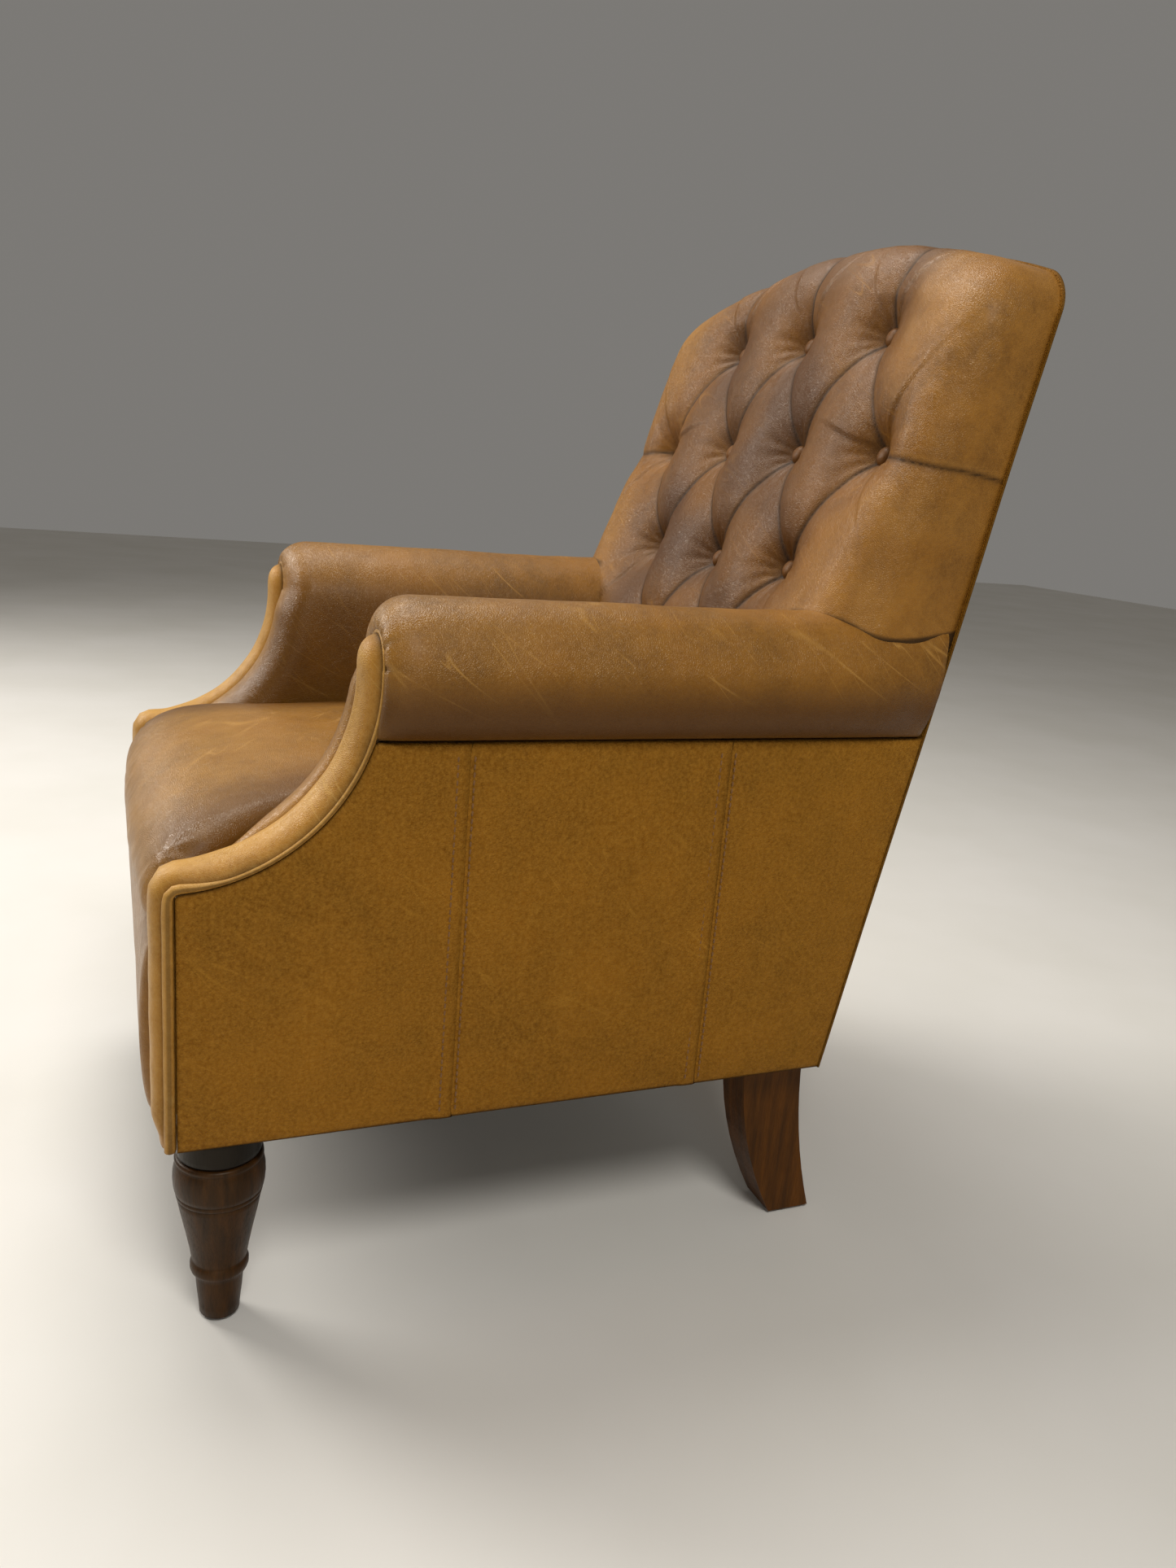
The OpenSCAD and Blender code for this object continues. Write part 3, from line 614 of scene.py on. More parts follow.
class Finishes:
    """Every material of the chair."""

    def __init__(self) -> None:
        """Makes each finish once."""
        self.panel = Leather(
            "waxed_hide_pebbled", "82510a", "633c04", "a5762a",
            grain_mm=2.4, grain_depth=1.0, shine=0.58, scars=0.4, gloss=0.12, fleck=0.6,
        ).make()
        self.seat = Leather(
            "waxed_hide_smooth", "7c4c0b", "4a2903", "aa7d3a",
            grain_mm=1.7, grain_depth=0.45, shine=0.33, scars=0.8, gloss=0.36,
        ).make()
        self.tufted = Leather(
            "waxed_hide_worn", "774809", "432305", "a87836",
            grain_mm=1.7, grain_depth=0.55, shine=0.34, scars=0.5, gloss=0.30,
        ).make()
        self.trim = Leather(
            "waxed_hide_trim", "b27a29", "835513", "cda55e",
            grain_mm=1.7, grain_depth=0.45, shine=0.42, scars=0.35, gloss=0.25,
        ).make()
        self.button = Leather(
            "waxed_hide_button", "5f390e", "3a1f06", "7a4e20",
            grain_mm=1.3, grain_depth=0.2, shine=0.45, scars=0.1, gloss=0.2,
        ).make()
        self.thread = Weave("waxed_linen_thread", "8a5c1e", "6b4415", thread_mm=0.6, rough=0.7).make()
        self.front_leg = Timber(
            "stained_beech_turned", "3f2407", "190c02", rough=0.42, ring_mm=7, coat=0.05
        ).make()
        self.ebony = Timber("ebonised_collar", "0a0807", "040303", rough=0.35, ring_mm=6, coat=0.05).make()
        self.rear_leg = Timber("stained_beech_sawn", "5c3303", "2f1700", rough=0.45, ring_mm=10, coat=0.03).make()
        self.frame = Timber("beech_rail", "c8a26c", "a77f4c", rough=0.62, ring_mm=12).make()
        self.ply = Timber(
            "birch_plywood", "d6b98c", "b8935f", rough=0.6, ring_mm=14, along=(1, 10, 10)
        ).make()
        self.steel = Plain(
            "drawn_spring_steel", "8f9296", "6d7074", rough=0.34, grit_mm=1.2, depth_mm=0.05, metal=1.0
        ).make()
        self.nylon = Plain(
            "moulded_nylon_glide", "1c1b1a", "121110", rough=0.5, grit_mm=1.0, depth_mm=0.05
        ).make()
        self.felt = Weave("pressed_felt", "70706b", "55554f", thread_mm=1.2).make()
        self.jute = Weave("jute_webbing", "b79f6e", "8f7747", thread_mm=2.2).make()
        self.cambric = Weave("black_cambric", "262523", "151413", thread_mm=1.0).make()


# -------------------------------------------------------------- the arm front


@dataclass
class SweepPath:
    """The line up an arm's front: plumb, over the shoulder, round the sweep and up the scroll."""

    plan: Plan
    round_over: float = 0.013
    overrun: float = 0.05
    fine_step: float = 0.001
    step: float = 0.0025
    points: Array = field(init=False)
    normals: Array = field(init=False)
    along: Array = field(init=False)

    def __post_init__(self) -> None:
        """Draws the line in Y and Z, softens the shoulder and finds its normals."""
        plan = self.plan
        cy, cz = plan.sweep_centre
        start = math.asin(min(1, max(-1, (plan.front - cy) / plan.sweep_r)))
        angles = np.linspace(start, math.pi / 2, 160)
        arc = np.stack([cy + plan.sweep_r * np.sin(angles), cz - plan.sweep_r * np.cos(angles)], 1)
        plumb = [[plan.front, plan.floor_gap], [plan.front, arc[0, 1]]]
        raw = np.vstack([plumb, arc, [[arc[-1, 0], plan.facing_top + self.overrun]]])
        length = float(run_lengths(raw)[-1])
        fine = resample(raw, int(length / self.fine_step))
        window = int(self.round_over / self.fine_step) | 1
        kernel = np.hanning(window + 2)
        kernel /= kernel.sum()
        pad = len(kernel) // 2
        before = fine[0] + (fine[0] - fine[1]) * np.arange(pad, 0, -1)[:, None]
        after = fine[-1] + (fine[-1] - fine[-2]) * np.arange(1, pad + 1)[:, None]
        padded = np.vstack([before, fine, after])
        soft = np.stack([np.convolve(padded[:, k], kernel, "valid") for k in (0, 1)], 1)
        self.points = resample(soft, int(length / self.step))
        tangent = tangents(self.points)
        self.normals = np.stack([-tangent[:, 1], tangent[:, 0]], 1)
        self.along = run_lengths(self.points)

    def at(self, u: Array) -> tuple[Array, Array]:
        """The points and normals at distances along the line."""
        point = np.stack([np.interp(u, self.along, self.points[:, k]) for k in (0, 1)], -1)
        normal = np.stack([np.interp(u, self.along, self.normals[:, k]) for k in (0, 1)], -1)
        return point, normal / np.linalg.norm(normal, axis=-1, keepdims=True)

    def u_at_height(self, z: float) -> float:
        """The distance along the line to a height."""
        return float(np.interp(z, self.points[:, 1], self.along))


@dataclass
class Facing:
    """The padded strip up an arm's front, with its folded edge beside the outside panel."""

    plan: Plan
    path: SweepPath
    side: Side
    proud: float = 0.0185
    inner_edge: float = 0.0055
    outer_edge: float = 0.0028
    fold_r: float = 0.0044
    thin_fold_r: float = 0.0019
    fold_w: float = 0.0075
    fold_lap: float = 0.0025
    least: float = 0.002
    ring_step: float = 0.003

    @property
    def span(self) -> tuple[float, float]:
        """The inner and outer x of the padded strip."""
        return self.plan.half - self.plan.facing_w - 0.0015, self.plan.half - 0.0012

    def clearance(self, u: Array) -> Array:
        """How far the strip's outer edge keeps back from the fold, which is widest on the plumb front."""
        return (self.fold_w - self.fold_lap) * (1 - self.past_shoulder(u))

    def past_shoulder(self, u: Array) -> Array:
        """A ramp from 0 on the plumb front to 1 on the sweep."""
        corner = self.path.u_at_height(self.plan.shoulder - 0.004)
        return smooth_step(u, corner - 0.012, corner + 0.05)

    def top_u(self) -> float:
        """The distance along the line at which the rounded top starts."""
        low, high = self.span
        return self.path.u_at_height(self.plan.facing_top) - (high - low) / 2

    def strip(self) -> bpy.types.Object:
        """Builds the padded strip as rings of front and back points.

        Returns:
            The strip, closed at both ends.
        """
        low, high = self.span
        middle, half = (low + high) / 2, (high - low) / 2
        top = self.top_u()
        u = np.concatenate([np.arange(0, top, self.ring_step), top + half * np.sin(np.linspace(0, math.pi / 2, 16))])
        reach = np.where(u > top, np.sqrt(np.clip(half**2 - (u - top) ** 2, 0, None)), half)
        across = np.sin(np.linspace(-math.pi / 2, math.pi / 2, 27))
        uu, pp = np.meshgrid(u, across, indexing="ij")
        x = middle + pp * np.maximum(reach, 1e-5)[:, None]
        x -= self.clearance(uu) * np.clip((pp + 1) / 2, 0, 1)
        past = np.maximum(uu - top, 0)
        outer = high - self.clearance(uu) - x
        edge = np.where(uu > top, half - np.hypot(past, x - middle), np.minimum(x - low, outer))
        edge = np.clip(edge, 0, None)
        outer_edge = self.outer_edge + 0.0062 * self.past_shoulder(uu)
        softness = np.where(x > middle, outer_edge, self.inner_edge)
        softness = softness + (self.inner_edge - softness) * smooth_step(uu, top - 0.03, top + 0.01)
        crown = 1 - np.exp(-((edge / softness) ** 0.8))
        crown *= 1 - 0.14 * np.abs((x - middle) / half) ** 2
        point, normal = self.path.at(uu)
        place = np.stack([x, point[..., 0], point[..., 1]], -1)
        ease = 0.6 + 0.4 * smooth_step(uu, 0.0, 0.03)
        depth = self.least + (self.proud - self.least) * crown * ease + 0.0007 * ripple(place, 0.03, 3.0)
        front = np.stack([x, point[..., 0] + normal[..., 0] * depth, point[..., 1] + normal[..., 1] * depth], -1)
        rear = place - 0.0004 * np.stack([np.zeros_like(x), normal[..., 0], normal[..., 1]], -1)
        ring = np.concatenate([front, rear[:, ::-1], front[:, :1]], axis=1)
        # Painted shade along both edges of the strip, where it meets the band and the fold.
        crease = np.exp(-edge / 0.0018)
        wear_and_highlight = 0.05 + 0.45 * smooth_step(depth, 0.010, 0.019)
        flat = np.zeros_like(crease)
        marks = {
            "crease": np.concatenate([crease, flat, crease[:, :1]], 1),
            "wear_and_highlight": np.concatenate([wear_and_highlight, flat, wear_and_highlight[:, :1]], 1),
        }
        return self.closed(ring, marks, "facing")

    def closed(self, ring: Array, marks: dict[str, Array], stem: str) -> bpy.types.Object:
        """Makes a piece of this side from a row of rings and closes both its ends."""
        bm = grid_mesh(ring * np.array([self.side.value, 1, 1]), marks)
        bmesh.ops.remove_doubles(bm, verts=bm.verts, dist=2e-5)
        close_holes(bm)
        return finish_mesh(bm, f"{stem}_{self.side.tag}")

    def fold(self) -> bpy.types.Object:
        """Builds the folded edge that runs beside the outside panel and over the tongue."""
        low, high = self.span
        middle, half = (low + high) / 2, (high - low) / 2 + 0.0012
        top = self.top_u()
        straight = np.arange(0.001, top, self.ring_step)
        angle = np.linspace(0, math.pi * 0.93, 40)
        u = np.concatenate([straight, top + half * np.sin(angle)])
        x_side = self.plan.half - self.fold_r + 0.0005
        blend = smooth_step(straight, top - 0.09, top - 0.01)
        x = np.concatenate([x_side + (middle + half - x_side) * blend, middle + half * np.cos(angle)])
        thin = self.past_shoulder(straight)
        radius = np.concatenate([
            self.fold_r + (self.thin_fold_r - self.fold_r) * thin, np.full(len(angle), self.thin_fold_r * 0.9),
        ])
        x[: len(straight)] += (self.fold_r - radius[: len(straight)]) * (1 - blend)
        point, normal = self.path.at(u)
        turns = np.linspace(0, 2 * math.pi, 15)
        centre = np.stack([x, *(point[:, k] + normal[:, k] * radius * 1.1 for k in (0, 1))], 1)
        out = np.stack([np.zeros(len(u)), normal[:, 0], normal[:, 1]], 1)
        side = np.cross(tangents(centre), out)
        side /= np.linalg.norm(side, axis=1, keepdims=True)
        wobble = 1 + 0.05 * ripple(centre, 0.02, 8.0)
        ring = centre[:, None] + (radius * wobble)[:, None, None] * (
            np.cos(turns)[None, :, None] * out[:, None] + 1.12 * np.sin(turns)[None, :, None] * side[:, None]
        )
        # Painted shade on both sides of the fold, where it touches the strip and the panel.
        round_fold = {
            "wear_and_highlight": 0.2 + 0.2 * np.cos(turns),
            "crease": 0.8 * smooth_step(np.abs(np.sin(turns)), 0.93, 1.0),
        }
        marks = {name: np.repeat(mark[None], len(u), 0) for name, mark in round_fold.items()}
        return self.closed(ring, marks, "facing_fold")

    def build(self, finishes: Finishes) -> None:
        """Builds and dresses the facing and its folded edge."""
        strip = self.strip()
        add_piece(strip, [f"facing_cover_{self.side.tag}", f"facing_pad_{self.side.tag}"], finishes.trim)
        add_piece(self.fold(), [f"facing_welt_{self.side.tag}"], finishes.trim)


@dataclass
class ArmLines:
    """The lines of an arm's hide, one to each column of its grid.

    Each line starts at the front on the outline of the band and scroll, and runs on from a place of the arm's
    section. Distances are measured round the section.
    """

    along: Array
    total: float
    inner_end: float
    front_x: Array
    front_z: Array
    body_x: Array
    body_z: Array
    u: Array


@dataclass
class Arm:
    """An arm's inside face, front band and roll, in one hide over its pads."""

    plan: Plan
    path: SweepPath
    side: Side
    top: float = 0.633
    over: float = 0.020
    band_proud: float = 0.014
    wrap_depth: float = 0.026
    low: float = 0.4065
    scroll_r: float = 0.0262
    end_r: float = 0.010
    pleats: int = 7
    pleat_depth: float = 0.0035
    counts: tuple[int, int, int] = (96, 46, 18)

    def section(self) -> Array:
        """The arm's section in x and z, from inside at the seat to the outside seam."""
        inner, half, top, seam, over = self.plan.inner, self.plan.half, self.top, self.plan.seam_h, self.over
        return np.array([
            (inner + 0.002, self.low), (inner + 0.002, 0.44), (inner - 0.001, 0.50), (inner - 0.001, 0.545),
            (inner + 0.007, 0.585), (inner + 0.034, top - 0.015), (inner + 0.074, top), (half - 0.004, top - 0.012),
            (half + over - 0.002, top - 0.047), (half + over, seam + 0.034), (half + over - 0.004, seam + 0.015),
            (half + 0.006, seam + 0.003), (half - 0.002, seam + 0.001),
        ])

    def lines(self) -> ArmLines:
        """Pairs the front outline with the section, line by line."""
        plan, path = self.plan, self.path
        up, round_scroll, down = self.counts
        middle, radius = plan.half - 0.026, self.scroll_r
        top_z = plan.facing_top - radius
        body = spline(self.section(), 600)
        steps = run_lengths(body)
        inner_end = steps[np.argmax(body[:, 1] > top_z)]
        outer_start = steps[len(body) - np.argmax(body[::-1, 1] > top_z) - 1]
        band_u = np.linspace(path.u_at_height(self.low), path.u_at_height(top_z), up, endpoint=False)
        band_z = path.at(band_u)[0][:, 1]
        rising = body[: np.argmax(body[:, 1] >= self.top - 0.001)]
        along = np.concatenate([
            np.interp(band_z, rising[:, 1], steps[: len(rising)]),
            np.linspace(inner_end, outer_start, round_scroll, endpoint=False),
            np.linspace(outer_start, steps[-1], down),
        ])
        turn = np.linspace(math.pi, 0, round_scroll, endpoint=False)
        front_x = np.concatenate([
            np.full(up, middle - radius),
            middle + radius * np.cos(turn),
            np.linspace(middle + radius, plan.half - 0.001, down),
        ])
        front_z = np.concatenate([band_z, top_z + radius * np.sin(turn), np.linspace(top_z, plan.seam_h, down)])
        u = np.interp(front_z, path.points[:, 1], path.along)
        u[:up] = band_u
        grown = self.growth(u)
        body_x, body_z = (np.interp(along, steps, body[:, k]) for k in (0, 1))
        return ArmLines(
            along,
            steps[-1],
            inner_end,
            front_x,
            front_z,
            front_x + (body_x - front_x) * grown,
            front_z + (body_z - front_z) * grown,
            u,
        )

    def growth(self, u: Array) -> Array:
        """How full the band is at distances up the sweep: it starts thin at the shoulder."""
        low = self.path.u_at_height(self.low)
        return 0.06 + 0.94 * smooth_step(u, low, low + 0.10)

    def wrap(self, lines: ArmLines) -> tuple[Array, Array, Array, Array]:
        """The rows that roll over from the front outline to the arm's own section.

        Args:
            lines: the hide's lines.

        Returns:
            The rows' points, each point's share of the way and its distance from the outline, and the pleats.
        """
        s, low = lines.along, self.path.u_at_height(self.low)
        base, normal = self.path.at(lines.u)
        scroll = smooth_step(s, lines.inner_end - 0.03, lines.inner_end + 0.01)
        proud = self.band_proud * (1 - 0.62 * scroll) * (0.25 + 0.75 * smooth_step(lines.u, low, low + 0.08))
        wrap_depth = self.wrap_depth * self.growth(lines.u)
        power = (2.0 / (2.5 - 0.3 * scroll))[None]
        angle = np.concatenate([[0, 0.012, 0.04, 0.09], np.linspace(0.16, math.pi / 2, 20)])[:, None]
        share = np.sin(angle) ** power
        gap = share * np.hypot(lines.body_x - lines.front_x, lines.body_z - lines.front_z)[None]
        rise = -wrap_depth[None] + (wrap_depth + proud)[None] * np.maximum(np.cos(angle), 0) ** power
        rise -= proud[None] * np.exp(-gap / 0.0035)
        upright = 1 - smooth_step(s, lines.inner_end - 0.02, lines.inner_end + 0.02)
        points = np.stack([
            lines.front_x + (lines.body_x - lines.front_x) * share,
            base[:, 0] + normal[:, 0] * rise,
            lines.front_z + (lines.body_z - lines.front_z) * share + normal[:, 1] * rise * upright,
        ], -1)
        up, round_scroll, _ = self.counts
        uneven = 0.8 * np.sin(np.linspace(0, 9, round_scroll))
        ridge = np.cos(np.linspace(0, 2 * math.pi * self.pleats, round_scroll) + uneven)
        pleat = np.zeros(len(s))
        pleat[up : up + round_scroll] = np.clip(ridge, 0, 1) ** 3
        fade = np.exp(-gap / 0.010) * np.sin(np.clip(share * 5, 0, math.pi / 2))
        points[..., 1] += self.pleat_depth * pleat[None] * fade
        return points, share, gap, pleat[None] * fade

    def run_back(self, last: Array) -> Array:
        """The rows from the wrap's last row to the rear plane, where the roll's end rounds in."""
        plan = self.plan
        rear = plan.rear(last[:, 2]) - plan.hide - 0.0005
        run = np.linspace(0, 1, 72)[1:]
        rows = last[None].repeat(len(run), 0)
        rows[..., 1] = last[None, :, 1] + (rear - last[:, 1])[None] * run[:, None]
        core = np.stack([np.full(len(last), plan.half - 0.05), np.clip(last[:, 2], 0.3, 0.575)], 1)
        gap, r = rear[None] - rows[..., 1], self.end_r
        tuck = np.where(gap < r, r - np.sqrt(np.clip(r**2 - (r - gap) ** 2, 0, None)), 0)
        inward = core - last[:, [0, 2]]
        inward /= np.maximum(np.linalg.norm(inward, axis=1, keepdims=True), 1e-6)
        over = smooth_step(rows[..., 0], plan.half - 0.002, plan.half + self.over)
        flatten = over * smooth_step(gap, 0.075, 0.0) * 0.008
        rows[..., 0] += inward[:, 0] * tuck - flatten
        rows[..., 2] += inward[:, 1] * tuck
        heel = smooth_step(gap, 0.12, 0.0) * smooth_step(rows[..., 0], plan.inner + 0.07, plan.half)
        rows[..., 2] += 0.004 * heel * smooth_step(rows[..., 2], 0.55, 0.615)
        return rows

    def painted_shading(self, points: Array) -> Array:
        """Painted shade on the hide: deeper under the roll and on the arm's inside face."""
        plan, x, z = self.plan, points[..., 0], points[..., 2]
        outside = smooth_step(x, plan.half - 0.01, plan.half + 0.012) * smooth_step(z, 0.592, 0.545)
        inside = smooth_step(x, plan.inner + 0.05, plan.inner + 0.02) * smooth_step(z, 0.615, 0.56)
        return np.clip(0.9 * outside + 0.6 * inside, 0, 1)

    def build(self, finishes: Finishes) -> None:
        """Builds and dresses the arm."""
        lines = self.lines()
        wrap, share, gap, pleated = self.wrap(lines)
        long = self.run_back(wrap[-1])
        points = np.concatenate([wrap, long])
        lift = np.concatenate([share**2, np.ones(long.shape[:2])])
        taut = 1 - smooth_step(lines.along, lines.total - 0.03, lines.total)
        away = smooth_step(lines.body_z, 0.46, 0.52) * taut
        normal = grid_normals(points)
        swell = 0.0022 * ripple(points, 0.11, 5.0) + 0.0007 * ripple(points, 0.028, 9.0)
        sign = -1 if normal[30, self.counts[0] + 20, 2] < 0 else 1
        points = points + sign * normal * (swell * lift * away[None])[..., None]
        # Painted shade along the band's front seam, in the scroll's pleats and under the roll's outer seam.
        crease = np.concatenate([np.maximum(np.exp(-gap / 0.0012), 0.75 * pleated), np.zeros(long.shape[:2])])
        crease[:, -1] = 0.9
        crease[:, -2] = np.maximum(crease[:, -2], 0.35)
        wear_and_highlight = np.concatenate([0.2 + 0.5 * (1 - share), np.full(long.shape[:2], 0.22)])
        wear_and_highlight = wear_and_highlight + 0.12 * (smooth_step(points[..., 2], 0.58, 0.63) * smooth_step(points[..., 1], 0.15, -0.2))
        marks = {"crease": crease, "wear_and_highlight": np.clip(wear_and_highlight, 0, 1), "shade": self.painted_shading(points)}
        points[..., 0] *= self.side.value
        tag, side_x = self.side.tag, self.side.value * (self.plan.half - 0.05)
        bm = grid_mesh(points, marks)
        piece = skin_sheet(bm, f"arm_{tag}", lambda p: Vector((p.x - side_x, 0, p.z - 0.5)), 0.002)
        nodes = [f"{name}_{tag}" for name in ("arm_cover", "roll_pad", "inside_arm_pad", "arm_front_pad")]
        add_piece(piece, nodes, finishes.seat)


# ------------------------------------------------------------ seat and border


def pillow_profile(
    count: int, face: float, radius: float, wall: float, wall_count: int = 8
) -> tuple[Array, Array, Array]:
    """A section that is flat in the middle, rounds over its edges and drops down its walls.

    Args:
        count: how many points over the face and its rounded edges.
        face: half of the section's width.
        radius: the radius of its edges.
        wall: the height of each wall below the radius.
        wall_count: how many points down each wall.

    Returns:
        Each point's share of the half width, its drop below the face, and its distance along the section.
    """
    lengths = (face - radius, math.pi / 2 * radius, wall)
    bend = lengths[0] + lengths[1]
    down = bend + wall * np.linspace(0, 1, wall_count + 1)[1:]
    run = np.concatenate([-down[::-1], np.linspace(-bend, bend, count), down])
    d = np.abs(run)
    angle = np.clip((d - lengths[0]) / radius, 0, math.pi / 2)
    x = np.minimum(d, lengths[0]) + radius * np.sin(angle)
    drop = radius * (1 - np.cos(angle)) + np.maximum(d - lengths[0] - lengths[1], 0)
    return np.sign(run) * x / face, drop, run


@dataclass
class Seat:
    """The tight sprung seat: a crowned top, a soft front roll and flared front corners."""

    plan: Plan
    crown: float = 0.012
    edge_r: float = 0.020
    wall: float = 0.055
    flare: float = 0.062

    def half_width(self, y: Array) -> Array:
        """Half of the seat's width at a place between its back and its front."""
        front = self.plan.front
        inner = self.plan.inner - 0.0005
        flare = smooth_step(-y, -(front + 0.145), -(front - 0.004))
        linear_flare = np.clip((front + 0.140 - y) / 0.140, 0, 1)
        return inner + self.flare * (0.45 * flare + 0.55 * linear_flare)

    def build(self, finishes: Finishes) -> None:
        """Builds and dresses the seat."""
        front = self.plan.front
        line = spline([
            (0.150, 0.448), (0.06, 0.4535), (-0.08, 0.4555), (-0.20, 0.4535), (-0.285, 0.4475), (-0.338, 0.436),
            (-0.371, 0.416), (-0.388, 0.390), (-0.3905, 0.370), (-0.382, 0.355), (-0.366, 0.3505), (-0.345, 0.3505),
        ], 190)
        share, drop, run = pillow_profile(151, 0.19, self.edge_r, self.wall, 14)
        tangent = tangents(line)
        normal = np.stack([tangent[:, 1], -tangent[:, 0]], 1)
        normal *= np.sign(normal[20, 1])
        half = self.half_width(line[:, 0])
        x = half[:, None] * share[None]
        belly = self.crown * (1 - np.abs(share[None]) ** 2.4) * smooth_step(-line[:, 0], -0.14, 0.0)[:, None]
        tuck = smooth_step(line[:, 1], 0.352, 0.40)[:, None]
        rounded = np.minimum(drop, self.edge_r)
        down = (drop - rounded)[None] * smooth_step(line[:, 1], 0.352, 0.41)[:, None]
        depth = rounded[None] - belly * tuck
        y = line[:, 0:1] - normal[:, 0:1] * depth + 0.5 * down
        z = line[:, 1:2] - normal[:, 1:2] * depth - 0.85 * down
        points = np.stack([x, y, z], -1)
        wrinkle = 0.0016 * ripple(points, 0.13, 2.0) + 0.0006 * ripple(points, 0.035, 4.0)
        gather = self.gathers(points)
        direction = grid_normals(points)
        if direction[30, 90, 2] < 0:
            direction = -direction
        points = points + direction * (wrinkle + gather)[..., None]
        last = np.linspace(0, 1, len(line))
        # Painted shade along the seat's lowest rows at the front seam and down its side walls.
        crease = np.repeat(smooth_step(last, 0.955, 0.985)[:, None], len(run), 1)
        crease = np.maximum(crease, 0.35 * smooth_step(drop, 0.03, 0.06)[None])
        out = np.abs(share)[None]
        behind = smooth_step(points[..., 1], -0.33, -0.25)
        wear_and_highlight = 0.30 + 0.38 * smooth_step(-points[..., 1], 0.16, 0.36) - 0.16 * smooth_step(out, 0.6, 1.0) * behind
        # Painted shade on the seat's sides next to the arms.
        shade_beside_arm = smooth_step(out, 0.45, 0.95) * smooth_step(line[:, 1], 0.38, 0.43)[:, None]
        marks = {"crease": crease, "wear_and_highlight": np.clip(wear_and_highlight, 0, 1), "shade": 0.75 * shade_beside_arm}
        bm = grid_mesh(points, marks)
        piece = skin_sheet(bm, "seat", lambda p: p - Vector((0, -0.1, 0.2)), self.plan.hide)
        add_piece(piece, ["seat_cover", "seat_foam"], finishes.seat)

    def gathers(self, points: Array) -> Array:
        """The small radiating gathers round each front corner."""
        corner = np.array([0.236, self.plan.front - 0.006, 0.432])
        spread = np.linalg.norm(np.abs(points) * [1, 0, 0] + points * [0, 1, 1] - corner, axis=-1)
        bearing = np.arctan2(points[..., 1] - corner[1], np.abs(points[..., 0]) - corner[0] + 0.004)
        spokes = np.cos(bearing * 9 + 1.5 * ripple(points, 0.05, 6.0))
        return 0.0012 * spokes * np.exp(-((spread / 0.038) ** 1.5)) * np.clip(spread / 0.012, 0, 1)


@dataclass
class Border:
    """The padded border across the front, under the seat's roll."""

    plan: Plan
    half: float = 0.249
    top: float = 0.3505

    def build(self, finishes: Finishes) -> None:
        """Builds and dresses the border."""
        front, foot = self.plan.front, self.plan.floor_gap
        line = spline([
            (front + 0.010, self.top - 0.001), (front - 0.004, self.top - 0.0015),
            (front - 0.0165, self.top - 0.010), (front - 0.0225, self.top - 0.035),
            (front - 0.025, 0.27), (front - 0.024, 0.225), (front - 0.021, foot + 0.014),
            (front - 0.016, foot + 0.004), (front - 0.006, foot + 0.001), (front + 0.012, foot + 0.001),
        ], 84)
        share, drop, _ = pillow_profile(131, self.half, 0.012, 0.018)
        tangent = tangents(line)
        normal = np.stack([-tangent[:, 1], tangent[:, 0]], 1)
        normal *= -np.sign(normal[40, 0])
        points = np.stack([
            self.half * share[None].repeat(len(line), 0),
            line[:, 0:1] - normal[:, 0:1] * np.minimum(drop, 0.03)[None],
            line[:, 1:2] - normal[:, 1:2] * np.minimum(drop, 0.002)[None],
        ], -1)
        points[..., 1] -= 0.0012 * ripple(points, 0.09, 7.0)
        # Painted shade along the border's top and bottom rows.
        ends = np.minimum(np.arange(len(line)), np.arange(len(line))[::-1])
        crease = np.repeat((1 - smooth_step(ends, 2, 8))[:, None], len(share), 1)
        wear_and_highlight = np.full_like(crease, 0.4)
        bm = grid_mesh(points, {"crease": crease, "wear_and_highlight": wear_and_highlight})
        piece = skin_sheet(bm, "front_border_cover", lambda p: p - Vector((0, front + 0.02, 0.27)), self.plan.hide)
        add_piece(piece, ["front_border", "front_border_foam"], finishes.seat)


# ------------------------------------------------------------- outside panels


